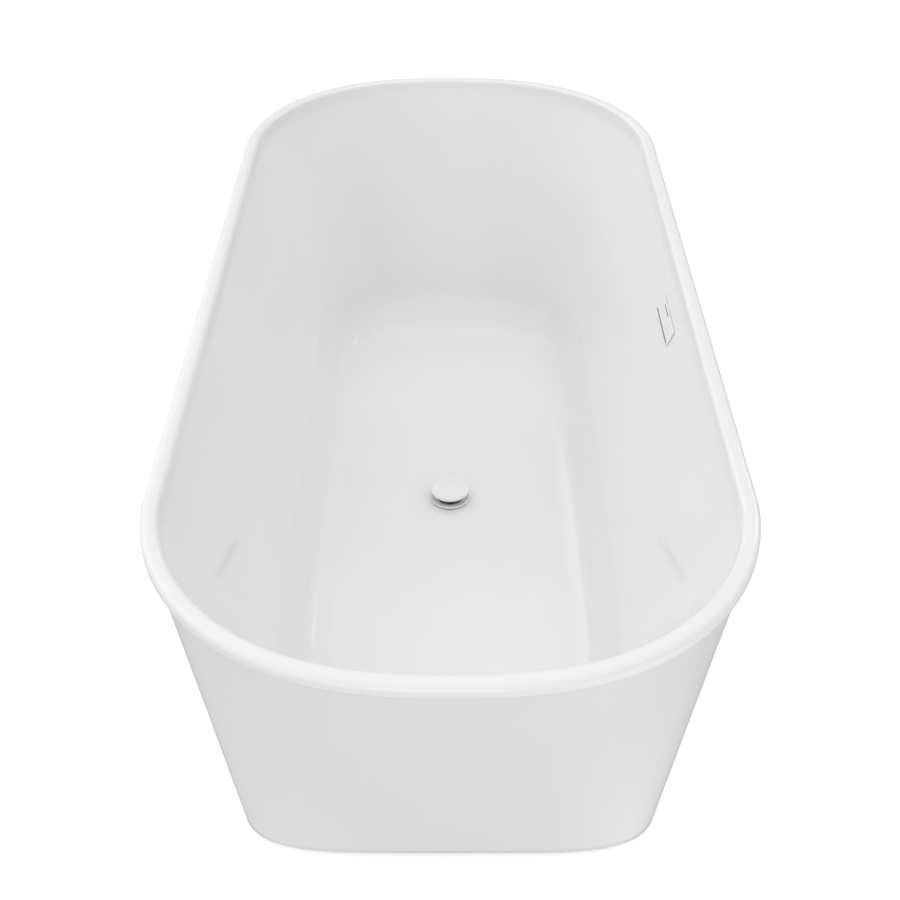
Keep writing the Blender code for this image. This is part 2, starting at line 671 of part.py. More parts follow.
# conical spring round the post, from the post's collar to the cap's inner ring
SPRING_LOW = POST_BASE + 0.0020 + GAP + 0.0008 + 0.0002
SPRING_HIGH = F + CAP_UNDER - 0.0010 - GAP - 0.0009
turns, per_turn = 5, 12
coil = []
for i in range(turns * per_turn + 1):
    w = 2 * math.pi * i / per_turn
    f = i / (turns * per_turn)
    rise = max(0.0, min(1.0, (f - 0.08) / 0.84))
    coil.append(Vector((0.0105 * math.cos(w), 0.0105 * math.sin(w),
                        SPRING_LOW + (SPRING_HIGH - SPRING_LOW) * (0.10 * f + 0.90 * rise))))
sweep_tube("stopper_spring", coil, 0.0008, 0.0, 5, SPRING, closed_core=True)

U = FLOOR_UNDER
turned("waste_gasket", [(0.0263, U - 0.0032), (0.0400, U - 0.0032), (0.0400, U - GAP), (0.0263, U - GAP)],
       RUBBER, seg=24)
hex_nut("waste_back_nut", 0.078, 0.0257, U - 0.0105, U - 0.0035, BRASS)

BODY_TOP = U - 0.0108
BODY_LOW = 0.0500
body = turned("waste_body", [
    (0.0, BODY_LOW), (0.0245, BODY_LOW), (0.0245, BODY_LOW + 0.014), (0.0290, BODY_LOW + 0.018),
    (0.0300, BODY_LOW + 0.022), (0.0300, BODY_TOP - 0.010), (0.0325, BODY_TOP - 0.008),
    (0.0325, BODY_TOP), (0.0, BODY_TOP)], PIPE, seg=28, hollow=False)
port = cutter(turned("waste_port", [(0.0, 0.0045), (0.0150, 0.0045), (0.0150, 0.0600), (0.0, 0.0600)],
                     PIPE, seg=20, axis="X", location=(0, 0, PORT_Z), hollow=False))
boolean(body, port, "UNION")
chamber = cutter(turned("waste_chamber_cut", [
    (0.0, BODY_LOW - 0.01), (0.0206, BODY_LOW - 0.01), (0.0206, BODY_LOW + 0.0160),
    (0.0262, BODY_LOW + 0.0220), (0.0262, BODY_TOP + 0.01), (0.0, BODY_TOP + 0.01)],
    PIPE, seg=28, hollow=False))
boolean(body, chamber, "DIFFERENCE")
port_bore = cutter(turned("waste_port_bore_cut", [(0.0, -0.0030), (0.0100, -0.0030), (0.0100, 0.0700),
                                                  (0.0, 0.0700)], PIPE, seg=18, axis="X", location=(0, 0, PORT_Z), hollow=False))
boolean(body, port_bore, "DIFFERENCE")

TAIL_LOW = 0.0150
turned("tail_gasket", [(0.0203, BODY_LOW - 0.0030), (0.0243, BODY_LOW - 0.0030),
                       (0.0243, BODY_LOW - GAP), (0.0203, BODY_LOW - GAP)], RUBBER, seg=24)
turned("tail_nut", [
    (0.0203, BODY_LOW - 0.0063), (0.0285, BODY_LOW - 0.0063), (0.0300, BODY_LOW - 0.0045),
    (0.0300, BODY_LOW + 0.0080), (0.0290, BODY_LOW + 0.0090), (0.0248, BODY_LOW + 0.0090),
    (0.0248, BODY_LOW - 0.0033), (0.0203, BODY_LOW - 0.0033)], PIPE, seg=24)
turned("outlet_tailpiece", [
    (0.0180, TAIL_LOW), (0.0200, TAIL_LOW), (0.0200, BODY_LOW + 0.0140), (0.0180, BODY_LOW + 0.0140)],
    PIPE, seg=24)

# ---------------------------------------------------------------- overflow
def overflow_point(out, along_y, up):
    return OVERFLOW_C + INTO_BATH * out + Vector((0, along_y, 0)) + ALONG_WALL * up


cover = solid_box("overflow_cover", (0.0028, OVERFLOW_LEN, OVERFLOW_H), ACRYLIC,
                  location=overflow_point(0.0007 + 0.0014, 0, 0), rotation=OVERFLOW_ROT, bevel=0.0008)
slit_low = cutter(solid_box("cover_slit_cut", (0.02, OVERFLOW_LEN - 0.008, 0.0020), NUTSTEEL,
                            location=overflow_point(0, 0, -OVERFLOW_H / 2 + 0.0035), rotation=OVERFLOW_ROT))
boolean(cover, slit_low, "DIFFERENCE")
slit_high = cutter(solid_box("cover_notch_cut", (0.02, 0.039, 0.0016), NUTSTEEL,
                             location=overflow_point(0, NOTCH_Y, OVERFLOW_H / 2 - 0.0030), rotation=OVERFLOW_ROT))
boolean(cover, slit_high, "DIFFERENCE")


def overflow_ring(name, out0, out1, len_o, h_o, len_i, h_i, mat):
    """Flat rectangular ring lying behind the wall round its opening."""
    def corners(length, height, out):
        return [overflow_point(out, sy * length / 2, SLOT_DROP + sz * height / 2)
                for sy, sz in ((-1, -1), (1, -1), (1, 1), (-1, 1))]
    bm = bmesh.new()
    loft(bm, [corners(len_o, h_o, out0), corners(len_o, h_o, out1),
              corners(len_i, h_i, out1), corners(len_i, h_i, out0)])
    return finish(name, bm, mat, 30.0)


BACK = -(SHELL_T + 0.0008)
overflow_ring("overflow_gasket", BACK, BACK - 0.0015, 0.108, 0.022, 0.094, 0.011, RUBBER)

# housing behind the wall: a wedge that widens downwards, with a spigot at its foot
BOX_TOP, BOX_LOW = 0.5125, 0.4550
face_off = SHELL_T + 0.0008 + 0.0015 + GAP


def box_section():
    def front(z):
        base = overflow_point(-face_off, 0, 0)
        return base.x + (z - base.z) * math.tan(WALL_TILT)

    def rear(z):
        return skirt_half_width(z) - SKIRT_T - 0.0022
    return [(front(BOX_TOP), BOX_TOP), (rear(BOX_TOP), BOX_TOP), (rear(BOX_LOW), BOX_LOW),
            (max(front(BOX_LOW), shell_half_width(BOX_LOW) + 0.0070), BOX_LOW)]


bm = bmesh.new()
sec = box_section()
loft_a = [bm.verts.new((x, -0.058, z)) for x, z in sec]
bm.faces.new(loft_a)
ext = bmesh.ops.extrude_face_region(bm, geom=list(bm.faces))
bmesh.ops.translate(bm, vec=(0, 0.116, 0), verts=[v for v in ext["geom"] if isinstance(v, bmesh.types.BMVert)])
housing = finish("overflow_housing", bm, GREY_PLASTIC, 30.0)
SPIGOT_TILT = math.atan(0.25)
spigot_top = Vector((0.3490, 0, 0.4590))
SPIGOT_DIR = Vector((-math.sin(SPIGOT_TILT), 0, -math.cos(SPIGOT_TILT)))
SPIGOT_LEN = 0.0440
spigot_rot = (0.0, math.pi + SPIGOT_TILT, 0.0)
spigot = cutter(turned("housing_spigot", [(0.0, 0.0), (HOSE_R, 0.0), (HOSE_R, SPIGOT_LEN), (0.0, SPIGOT_LEN)],
                       GREY_PLASTIC, seg=20, location=spigot_top, rotation=spigot_rot, hollow=False))
boolean(housing, spigot, "UNION")
inner_box = [(sec[0][0] + 0.0016, BOX_TOP - 0.0016), (sec[1][0] - 0.0016, BOX_TOP - 0.0016),
             (sec[2][0] - 0.0016, BOX_LOW + 0.0016), (sec[3][0] + 0.0016, BOX_LOW + 0.0016)]
bm = bmesh.new()
va = [bm.verts.new((x, -0.0564, z)) for x, z in inner_box]
bm.faces.new(va)
ext = bmesh.ops.extrude_face_region(bm, geom=list(bm.faces))
bmesh.ops.translate(bm, vec=(0, 0.1128, 0), verts=[v for v in ext["geom"] if isinstance(v, bmesh.types.BMVert)])
boolean(housing, cutter(finish("housing_inside_cut", bm, GREY_PLASTIC)), "DIFFERENCE")
boolean(housing, cutter(solid_box("housing_mouth_cut", (0.012, 0.090, 0.0090), NUTSTEEL,
                                  location=overflow_point(-face_off - 0.0010, 0, SLOT_DROP),
                                  rotation=OVERFLOW_ROT)), "DIFFERENCE")
boolean(housing, cutter(turned("spigot_bore_cut", [(0.0, -0.004), (0.0082, -0.004), (0.0082, SPIGOT_LEN + 0.01),
                                                   (0.0, SPIGOT_LEN + 0.01)],
                               GREY_PLASTIC, seg=20, location=spigot_top, rotation=spigot_rot,
                               hollow=False)), "DIFFERENCE")

spigot_end = spigot_top + SPIGOT_DIR * SPIGOT_LEN
hose_start = spigot_end + SPIGOT_DIR * GAP
hose_end = Vector((0.0600 + GAP, 0, PORT_Z))
hose_path = smooth_path([
    hose_start, hose_start + SPIGOT_DIR * 0.018, (0.3190, 0, 0.340), (0.2950, 0, 0.250), (0.2740, 0, 0.175),
    (0.2480, 0, 0.122), (0.2060, 0, 0.088), (0.1500, 0, PORT_Z + 0.001), (0.1000, 0, PORT_Z),
    hose_end + Vector((0.012, 0, 0)), hose_end], 3)
sweep_tube("overflow_hose", hose_path, HOSE_R, HOSE_BORE_R, 10, GREY_PLASTIC)

nut_outline = [(HOSE_R + 0.0004, -0.0100), (0.0150, -0.0100), (0.0158, -0.0085), (0.0158, 0.0085),
               (0.0150, 0.0100), (HOSE_R + 0.0004, 0.0100)]
turned("hose_nut_top", nut_outline, PIPE, seg=24, location=spigot_end, rotation=spigot_rot)
turned("hose_nut_bottom", [
    (0.0154, 0.0480), (0.0185, 0.0480), (0.0195, 0.0495), (0.0195, 0.0660), (0.0150, 0.0700),
    (HOSE_R + 0.0004, 0.0700), (HOSE_R + 0.0004, 0.0604), (0.0154, 0.0604)],
    PIPE, seg=24, axis="X", location=(0, 0, PORT_Z))
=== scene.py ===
"""Freestanding acrylic bathtub: the visual model and its studio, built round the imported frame.

Frame: +Z up, +Y along the bath, origin on the floor under the middle of the bath. Metres.
"""
import math

import bmesh
import bpy
from mathutils import Matrix, Vector, noise

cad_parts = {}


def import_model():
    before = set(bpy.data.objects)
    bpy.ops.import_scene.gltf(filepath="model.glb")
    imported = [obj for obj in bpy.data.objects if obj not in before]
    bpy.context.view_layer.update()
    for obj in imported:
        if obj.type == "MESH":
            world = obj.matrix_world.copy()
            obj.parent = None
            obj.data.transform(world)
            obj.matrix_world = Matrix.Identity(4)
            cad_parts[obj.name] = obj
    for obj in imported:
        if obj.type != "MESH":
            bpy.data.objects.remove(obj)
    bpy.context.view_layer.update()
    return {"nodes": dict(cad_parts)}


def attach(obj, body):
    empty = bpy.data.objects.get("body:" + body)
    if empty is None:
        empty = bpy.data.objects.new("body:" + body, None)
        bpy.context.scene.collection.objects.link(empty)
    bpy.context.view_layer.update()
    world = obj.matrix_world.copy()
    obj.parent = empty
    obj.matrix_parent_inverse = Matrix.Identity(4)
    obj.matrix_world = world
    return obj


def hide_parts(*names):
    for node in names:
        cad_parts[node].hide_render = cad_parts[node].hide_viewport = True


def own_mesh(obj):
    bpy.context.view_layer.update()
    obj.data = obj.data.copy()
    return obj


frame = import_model()
NODES = frame["nodes"]

# ---------------------------------------------------------------- dimensions, as in the CAD part
LENGTH, WIDTH, HEIGHT = 1.700, 0.780, 0.580
HALF_L, HALF_W = LENGTH / 2, WIDTH / 2
GAP = 0.0003
RIM_STRAIGHT, RIM_NX, RIM_NY = 0.525, 2.505, 1.915
BASE_HALF_L, BASE_HALF_W, BASE_STRAIGHT, BASE_NX, BASE_NY = 0.653, 0.3128, 0.522, 5.0, 3.35
SHELL_T, SKIRT_T = 0.005, 0.004
RIM_WIDTH, RIM_R_OUT, RIM_R_IN, RIM_CROWN_R = 0.0235, 0.008, 0.0065, 0.055
LIP_H, LIP_T = 0.017, 0.004
SKIRT_INSET, SKIRT_TOP, SKIRT_BOTTOM = 0.0075, 0.568, 0.004
CREASE_Z, CREASE_INSET, CREASE_INSET_END = 0.5520, 0.0242, 0.0290
FLOOR_Z, FLOOR_EDGE_Z = 0.136, 0.1385
FLOOR_UNDER = FLOOR_Z - 0.0045
WALL = (
    (CREASE_Z, HALF_W - CREASE_INSET, HALF_L - CREASE_INSET_END),
    (0.495, 0.3445, 0.7905),
    (0.420, 0.3165, 0.7480),
    (0.330, 0.2890, 0.6960),
    (0.240, 0.2620, 0.6400),
    (0.184, 0.2440, 0.6000),
    (0.156, 0.2255, 0.5620),
    (0.1425, 0.1980, 0.5180),
    (FLOOR_EDGE_Z, 0.1600, 0.4650),
)
FLOOR_STRAIGHT, FLOOR_NX, FLOOR_NY = 0.340, 3.0, 2.5
DRAIN_HOLE_R = 0.030
FLANGE_R, NECK_R, NECK_BORE_R, CAP_R = 0.0360, 0.0250, 0.0225, 0.0340
TUBE, TUBE_WALL, BOARD_T = 0.025, 0.002, 0.0122
BOARD_TOP = FLOOR_UNDER - GAP
BOARD_BOTTOM = BOARD_TOP - BOARD_T
RAIL_TOP = BOARD_BOTTOM - GAP
RAIL_BOTTOM = RAIL_TOP - TUBE
RAIL_X, RAIL_HALF = 0.165, 0.560
CROSS_Y = (-0.530, -0.200, 0.200, 0.530)
FOOT_Y = 0.460
SCREW_Y = (-0.360, -0.120, 0.120, 0.360)
PAD_R, PAD_H, STUD_R, STUD_HOLE_R, STUD_TOP = 0.0240, 0.0120, 0.0056, 0.0061, 0.1050
OVERFLOW_Z, OVERFLOW_LEN, OVERFLOW_H, NOTCH_Y = 0.5102, 0.117, 0.029, 0.0115
HOSE_R, HOSE_BORE_R, PORT_Z = 0.0110, 0.0090, 0.078
K1, K2 = 12, 58           # points on a plan loop's straight part and end curve, per quarter
COLL = bpy.context.scene.collection
PI = math.pi


# ---------------------------------------------------------------- materials
class Nodes:
    """Small helper for a material's node tree."""

    def __init__(self, name, rough=0.5, metallic=0.0, ior=1.5, colour=(0.8, 0.8, 0.8)):
        self.mat = bpy.data.materials.new(name)
        self.mat.use_nodes = True
        self.nt = self.mat.node_tree
        self.p = self.nt.nodes["Principled BSDF"]
        self.p.inputs["Base Color"].default_value = (*colour, 1.0)
        self.p.inputs["Roughness"].default_value = rough
        self.p.inputs["Metallic"].default_value = metallic
        self.p.inputs["IOR"].default_value = ior
        self.coord = self.nt.nodes.new("ShaderNodeTexCoord")
        self.height = None

    def link(self, a, b):
        self.nt.links.new(a, b)

    def place(self, scale=(1, 1, 1), rotation=(0, 0, 0)):
        m = self.nt.nodes.new("ShaderNodeMapping")
        m.inputs["Scale"].default_value = scale
        m.inputs["Rotation"].default_value = rotation
        self.link(self.coord.outputs["Object"], m.inputs["Vector"])
        return m.outputs["Vector"]

    def noise(self, scale, detail=3.0, rough=0.5, vector=None, distortion=0.0):
        n = self.nt.nodes.new("ShaderNodeTexNoise")
        n.inputs["Scale"].default_value = scale
        n.inputs["Detail"].default_value = detail
        n.inputs["Roughness"].default_value = rough
        n.inputs["Distortion"].default_value = distortion
        self.link(vector or self.coord.outputs["Object"], n.inputs["Vector"])
        return n.outputs["Fac"]

    def voronoi(self, scale, feature="F1", vector=None, out="Distance"):
        n = self.nt.nodes.new("ShaderNodeTexVoronoi")
        n.feature = feature
        n.inputs["Scale"].default_value = scale
        self.link(vector or self.coord.outputs["Object"], n.inputs["Vector"])
        return n.outputs[out]

    def ramp(self, fac, stops):
        r = self.nt.nodes.new("ShaderNodeValToRGB")
        e = r.color_ramp.elements
        while len(e) < len(stops):
            e.new(0.5)
        for el, (pos, col) in zip(e, stops):
            el.position = pos
            el.color = (*col, 1.0) if len(col) == 3 else (col[0], col[0], col[0], 1.0)
        self.link(fac, r.inputs["Fac"])
        return r.outputs["Color"]

    def span(self, fac, lo, hi, a=0.3, b=0.7):
        m = self.nt.nodes.new("ShaderNodeMapRange")
        m.inputs["From Min"].default_value = a
        m.inputs["From Max"].default_value = b
        m.inputs["To Min"].default_value = lo
        m.inputs["To Max"].default_value = hi
        self.link(fac, m.inputs["Value"])
        return m.outputs["Result"]

    def math(self, op, a, b=None):
        m = self.nt.nodes.new("ShaderNodeMath")
        m.operation = op
        for i, v in enumerate((a, b)):
            if v is None:
                continue
            if isinstance(v, (int, float)):
                m.inputs[i].default_value = v
            else:
                self.link(v, m.inputs[i])
        return m.outputs[0]

    def mix(self, fac, a, b):
        m = self.nt.nodes.new("ShaderNodeMix")
        m.data_type = "RGBA"
        for key, v in ((0, fac), (6, a), (7, b)):
            if isinstance(v, (tuple, float, int)):
                m.inputs[key].default_value = (*v, 1.0) if isinstance(v, tuple) else v
            else:
                self.link(v, m.inputs[key])
        return m.outputs[2]

    def bump(self, fac, distance, strength=1.0):
        b = self.nt.nodes.new("ShaderNodeBump")
        b.inputs["Distance"].default_value = distance
        b.inputs["Strength"].default_value = strength
        self.link(fac, b.inputs["Height"])
        if self.height is not None:
            self.link(self.height, b.inputs["Normal"])
        self.height = b.outputs["Normal"]
        self.link(self.height, self.p.inputs["Normal"])

    def colour(self, c):
        self.link(c, self.p.inputs["Base Color"])

    def rough(self, r):
        self.link(r, self.p.inputs["Roughness"])


def mat_acrylic(name, lo, hi, r0, r1):
    """Glossy cast acrylic: faint mottling, polish marks and the slight orange peel of a formed sheet."""
    n = Nodes(name, ior=1.49)
    n.colour(n.ramp(n.noise(2.3, 3.0, 0.55), ((0.30, lo), (0.70, hi))))
    fine = n.noise(46.0, 4.0, 0.6)
    n.rough(n.span(n.math("ADD", n.math("MULTIPLY", fine, 0.5), n.math("MULTIPLY", n.noise(7.0, 2.0), 0.5)),
                   r0, r1))
    n.bump(n.noise(9.0, 2.0, 0.45), 0.00004, 0.20)
    n.bump(n.noise(120.0, 2.0, 0.5), 0.00001, 0.20)
    return n.mat


def mat_grp(name):
    """Glass-fibre reinforced back of the acrylic: resin with chopped strands."""
    n = Nodes(name, rough=0.5)
    strands = None
    for k, rot in enumerate((0.3, 1.25, 2.2)):
        v = n.place((34.0, 420.0, 120.0), (0.4 * k, 0.7 * k, rot))
        s = n.noise(1.0, 2.0, 0.5, v, 0.4)
        strands = s if strands is None else n.math("MAXIMUM", strands, s)
    n.colour(n.ramp(strands, ((0.42, (0.58, 0.55, 0.44)), (0.60, (0.73, 0.71, 0.62)), (0.78, (0.83, 0.82, 0.76)))))
    n.rough(n.span(strands, 0.58, 0.32))
    n.bump(strands, 0.0006, 0.8)
    n.bump(n.noise(14.0, 3.0), 0.0015, 0.6)
    return n.mat


def mat_metal(name, lo, hi, r0, r1, grain=0.00002, spangle=None, scratch=260.0):
    n = Nodes(name, metallic=1.0)
    base = n.noise(30.0, 4.0, 0.6)
    if spangle:
        cells = n.voronoi(spangle, "F1", out="Color")
        sep = n.nt.nodes.new("ShaderNodeSeparateColor")
        n.link(cells, sep.inputs["Color"])
        base = n.math("ADD", n.math("MULTIPLY", base, 0.5), n.math("MULTIPLY", sep.outputs[0], 0.5))
    n.colour(n.ramp(base, ((0.25, lo), (0.75, hi))))
    marks = n.noise(scratch, 3.0, 0.7, n.place((1.0, 9.0, 3.0)))
    n.rough(n.span(n.math("ADD", n.math("MULTIPLY", marks, 0.5), n.math("MULTIPLY", base, 0.5)), r0, r1))
    n.bump(marks, grain, 0.6)
    return n.mat


def mat_plastic(name, lo, hi, r0, r1, grain=0.00006, scale=900.0):
    """Moulded plastic or rubber with a fine spark-eroded grain."""
    n = Nodes(name, ior=1.48)
    n.colour(n.ramp(n.noise(14.0, 4.0, 0.6), ((0.3, lo), (0.7, hi))))
    g = n.noise(scale, 2.0, 0.6)
    n.rough(n.span(n.math("ADD", n.math("MULTIPLY", g, 0.4), n.math("MULTIPLY", n.noise(22.0, 3.0), 0.6)), r0, r1))
    n.bump(g, grain, 0.7)
    return n.mat


def mat_plywood(name):
    """Birch plywood: long grain on the faces, alternate plies on the cut edges."""
    n = Nodes(name, rough=0.6)
    grain = n.noise(1.0, 6.0, 0.62, n.place((70.0, 4.2, 70.0)), 0.9)
    pores = n.noise(1.0, 3.0, 0.6, n.place((620.0, 26.0, 400.0)))
    face = n.ramp(n.math("ADD", n.math("MULTIPLY", grain, 0.75), n.math("MULTIPLY", pores, 0.25)),
                  ((0.32, (0.43, 0.28, 0.15)), (0.50, (0.62, 0.45, 0.27)), (0.68, (0.73, 0.57, 0.37))))
    sep = n.nt.nodes.new("ShaderNodeSeparateXYZ")
    n.link(n.coord.outputs["Object"], sep.inputs[0])
    # seven plies over the board's thickness
    ply = n.math("FRACT", n.math("MULTIPLY", n.math("SUBTRACT", sep.outputs["Z"], BOARD_BOTTOM), 3.5 / BOARD_T))
    step = n.math("GREATER_THAN", ply, 0.5)
    edge = n.mix(step, (0.34, 0.20, 0.10), face)
    geo = n.nt.nodes.new("ShaderNodeNewGeometry")
    nsep = n.nt.nodes.new("ShaderNodeSeparateXYZ")
    n.link(geo.outputs["Normal"], nsep.inputs[0])
    up = n.math("GREATER_THAN", n.math("ABSOLUTE", nsep.outputs["Z"]), 0.6)
    n.colour(n.mix(up, edge, face))
    n.rough(n.span(grain, 0.52, 0.75))
    n.bump(grain, 0.0004, 0.5)
    n.bump(pores, 0.00015, 0.5)
    return n.mat


M = {
    "acrylic": mat_acrylic("bath_acrylic", (0.852, 0.852, 0.850), (0.870, 0.871, 0.871), 0.07, 0.14),
    "skirt": mat_acrylic("skirt_acrylic", (0.852, 0.852, 0.850), (0.870, 0.871, 0.871), 0.09, 0.17),
    "cover": mat_plastic("overflow_abs_white", (0.850, 0.850, 0.847), (0.868, 0.868, 0.866), 0.10, 0.19, 0.00001, 600.0),
    "enamel": mat_plastic("cap_white_enamel", (0.850, 0.850, 0.848), (0.868, 0.869, 0.869), 0.07, 0.15, 0.000004, 500.0),
    "grp": mat_grp("glass_fibre_back"),
    "sealant": mat_plastic("sealant_silicone", (0.74, 0.74, 0.72), (0.80, 0.80, 0.79), 0.38, 0.55, 0.0001, 240.0),
    "ply": mat_plywood("birch_plywood"),
    "zinc": mat_metal("zinc_plated", (0.50, 0.52, 0.54), (0.68, 0.69, 0.71), 0.28, 0.48, 0.00002, 160.0),
    "nut": mat_metal("nut_steel_plated", (0.46, 0.47, 0.50), (0.62, 0.63, 0.66), 0.22, 0.40, 0.00003, 300.0),
    "nylon": mat_plastic("foot_black_nylon", (0.018, 0.018, 0.020), (0.040, 0.040, 0.043), 0.42, 0.62, 0.00008, 700.0),
    "brass": mat_metal("machined_brass", (0.60, 0.44, 0.19), (0.76, 0.58, 0.28), 0.20, 0.36, 0.00002, None, 700.0),
    "rubber": mat_plastic("seal_black_rubber", (0.014, 0.014, 0.014), (0.035, 0.035, 0.035), 0.60, 0.80, 0.0001, 500.0),
    "silicone": mat_plastic("seal_pale_silicone", (0.70, 0.70, 0.68), (0.78, 0.78, 0.76), 0.35, 0.50, 0.00004, 500.0),
    "pipe": mat_plastic("white_polypropylene", (0.74, 0.74, 0.73), (0.81, 0.81, 0.80), 0.28, 0.44, 0.00006, 800.0),
    "grey": mat_plastic("grey_polypropylene", (0.25, 0.26, 0.27), (0.33, 0.34, 0.35), 0.34, 0.52, 0.00006, 700.0),
    "spring": mat_metal("spring_steel_wire", (0.42, 0.43, 0.45), (0.60, 0.61, 0.63), 0.18, 0.34, 0.00001, None, 900.0),
}


# ---------------------------------------------------------------- mesh helpers
def mesh(name, verts, faces):
    me = bpy.data.meshes.new(name)
    me.from_pydata([tuple(v) for v in verts], [], faces)
    bm = bmesh.new()
    bm.from_mesh(me)
    bmesh.ops.remove_doubles(bm, verts=bm.verts, dist=1e-7)
    bmesh.ops.recalc_face_normals(bm, faces=bm.faces)
    bm.to_mesh(me)
    bm.free()
    me.update()
    return me


def obj(name, me, mats, matrix=None, sharp=35.0):
    if matrix is not None:
        me.transform(matrix)
    o = bpy.data.objects.new(name, me)
    COLL.objects.link(o)
    if not me.materials:
        for m in (mats if isinstance(mats, (list, tuple)) else [mats]):
            me.materials.append(M[m])
    me.shade_smooth()
    me.set_sharp_from_angle(angle=math.radians(sharp))
    return o


def baked(o, sharp=None):
    """The object's mesh with its modifiers applied."""
    bpy.context.view_layer.update()
    me = bpy.data.meshes.new_from_object(o.evaluated_get(bpy.context.evaluated_depsgraph_get()))
    o.modifiers.clear()
    o.data = me
    if sharp is not None:
        me.shade_smooth()
        me.set_sharp_from_angle(angle=math.radians(sharp))
    return o


def boolean(o, others, op, sharp=None):
    for other in others:
        m = o.modifiers.new("b", "BOOLEAN")
        m.operation = op
        m.solver = "EXACT"
        m.object = other
    baked(o, sharp)
    for other in others:
        bpy.data.objects.remove(other, do_unlink=True)
    return o


def bevel(o, width, segments=2, angle=30.0, sharp=None):
    m = o.modifiers.new("v", "BEVEL")
    m.width = width
    m.segments = segments
    m.limit_method = "ANGLE"
    m.angle_limit = math.radians(angle)
    m.use_clamp_overlap = True
    return baked(o, sharp)


def show(o, body, node):
    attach(o, body)
    if node:
        for n in (node if isinstance(node, (list, tuple)) else [node]):
            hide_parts(n)
    return o


def at(x=0.0, y=0.0, z=0.0, rot=(0.0, 0.0, 0.0)):
    r = Matrix.Rotation(rot[2], 4, "Z") @ Matrix.Rotation(rot[1], 4, "Y") @ Matrix.Rotation(rot[0], 4, "X")
    return Matrix.Translation((x, y, z)) @ r


def soften(pts, r, n=3, closed=True):
    """The outline with its corners rounded to about r."""
    out = []
    m = len(pts)
    for i in range(m):
        p = Vector(pts[i][:2])
        if not closed and i in (0, m - 1):
            out.append(p)
            continue
        a, b = Vector(pts[(i - 1) % m][:2]) - p, Vector(pts[(i + 1) % m][:2]) - p
        la, lb = a.length, b.length
        if la < 1e-7 or lb < 1e-7:
            continue
        if a.dot(b) / (la * lb) < -0.992:
            out.append(p)
            continue
        t = min(r, la * 0.42, lb * 0.42)
        p0, p1 = p + a / la * t, p + b / lb * t
        for k in range(n + 1):
            u = k / n
            out.append(p0 * (1 - u) ** 2 + p * (2 * u * (1 - u)) + p1 * u * u)
    return [(v[0], v[1]) for v in out]


def spun(name, prof, seg=96, hollow=True, radial=None):
    """Turned mesh from a (radius, height) outline; a point on the axis becomes a pole."""
    verts, rings = [], []
    for r, z in prof:
        if r < 1e-6:
            verts.append((0.0, 0.0, z))
            rings.append([len(verts) - 1])
            continue
        ring = []
        for k in range(seg):
            w = 2 * PI * k / seg
            rr = r if radial is None else radial(r, z, w)
            verts.append((rr * math.cos(w), rr * math.sin(w), z))
            ring.append(len(verts) - 1)
        rings.append(ring)
    faces = []
    for a, b in (zip(rings, rings[1:] + rings[:1]) if hollow else zip(rings, rings[1:])):
        for k in range(seg):
            j = (k + 1) % seg
            if len(a) == 1 and len(b) == 1:
                continue
            if len(a) == 1:
                faces.append((a[0], b[k], b[j]))
            elif len(b) == 1:
                faces.append((a[k], b[0], a[j]))
            else:
                faces.append((a[k], b[k], b[j], a[j]))
    return mesh(name, verts, faces)


def turned(name, prof, mat, seg=96, hollow=True, r=0.0004, matrix=None, sharp=40.0, radial=None, n=3):
    prof = soften(prof, r, n, hollow)
    return obj(name, spun(name, prof, seg, hollow, radial), mat, matrix, sharp)


def lofted(name, loops, ring=True):
    verts, n = [], len(loops[0])
    for loop in loops:
        verts += list(loop)
    rows = len(loops)
    faces = []
    for k in range(rows if ring else rows - 1):
        a, b = k * n, ((k + 1) % rows) * n
        for i in range(n):
            j = (i + 1) % n
            faces.append((a + i, b + i, b + j, a + j))
    return verts, faces


def box(name, size, mat, matrix=None, r=0.0, seg=3, sharp=35.0):
    bm = bmesh.new()
    bmesh.ops.create_cube(bm, size=1.0)
    bmesh.ops.scale(bm, vec=size, verts=bm.verts)
    if r:
        bmesh.ops.bevel(bm, geom=list(bm.edges), offset=r, segments=seg, affect="EDGES", profile=0.5)
    me = bpy.data.meshes.new(name)
    bm.to_mesh(me)
    bm.free()
    return obj(name, me, mat, matrix, sharp)


def rod(name, r, length, mat, matrix=None, seg=48, r2=None):
    bm = bmesh.new()
    bmesh.ops.create_cone(bm, cap_ends=True, segments=seg, radius1=r, radius2=r2 or r, depth=length)
    me = bpy.data.meshes.new(name)
    bm.to_mesh(me)
    bm.free()
    return obj(name, me, mat, matrix)


def swept(name, path, ring_r, sides, mat, bore=None, sharp=50.0):
    """Tube along a path. ring_r(i, u, w) gives the radius at point i, share u of the length, angle w."""
    n = len(path)
    run = [0.0]
    for a, b in zip(path, path[1:]):
        run.append(run[-1] + (b - a).length)
    tang = [(path[min(i + 1, n - 1)] - path[max(i - 1, 0)]).normalized() for i in range(n)]
    up = Vector((0, 1, 0)) if abs(tang[0].y) < 0.9 else Vector((1, 0, 0))
    side = tang[0].cross(up).normalized()
    outer, inner = [], []
    for i, (p, t) in enumerate(zip(path, tang)):
        side = (side - t * side.dot(t)).normalized()
        other = t.cross(side)
        ro, ri = [], []
        for k in range(sides):
            w = 2 * PI * k / sides
            d = side * math.cos(w) + other * math.sin(w)
            ro.append(p + d * ring_r(i, run[i], w))
            if bore:
                ri.append(p + d * bore)
        outer.append(ro)
        inner.append(ri)
    if bore:
        verts, faces = lofted(name, outer + list(reversed(inner)))
    else:
        verts, faces = lofted(name, outer, ring=False)
        faces.append(tuple(reversed(range(sides))))
        faces.append(tuple(range(len(verts) - sides, len(verts))))
    return obj(name, mesh(name, verts, faces), mat, None, sharp)


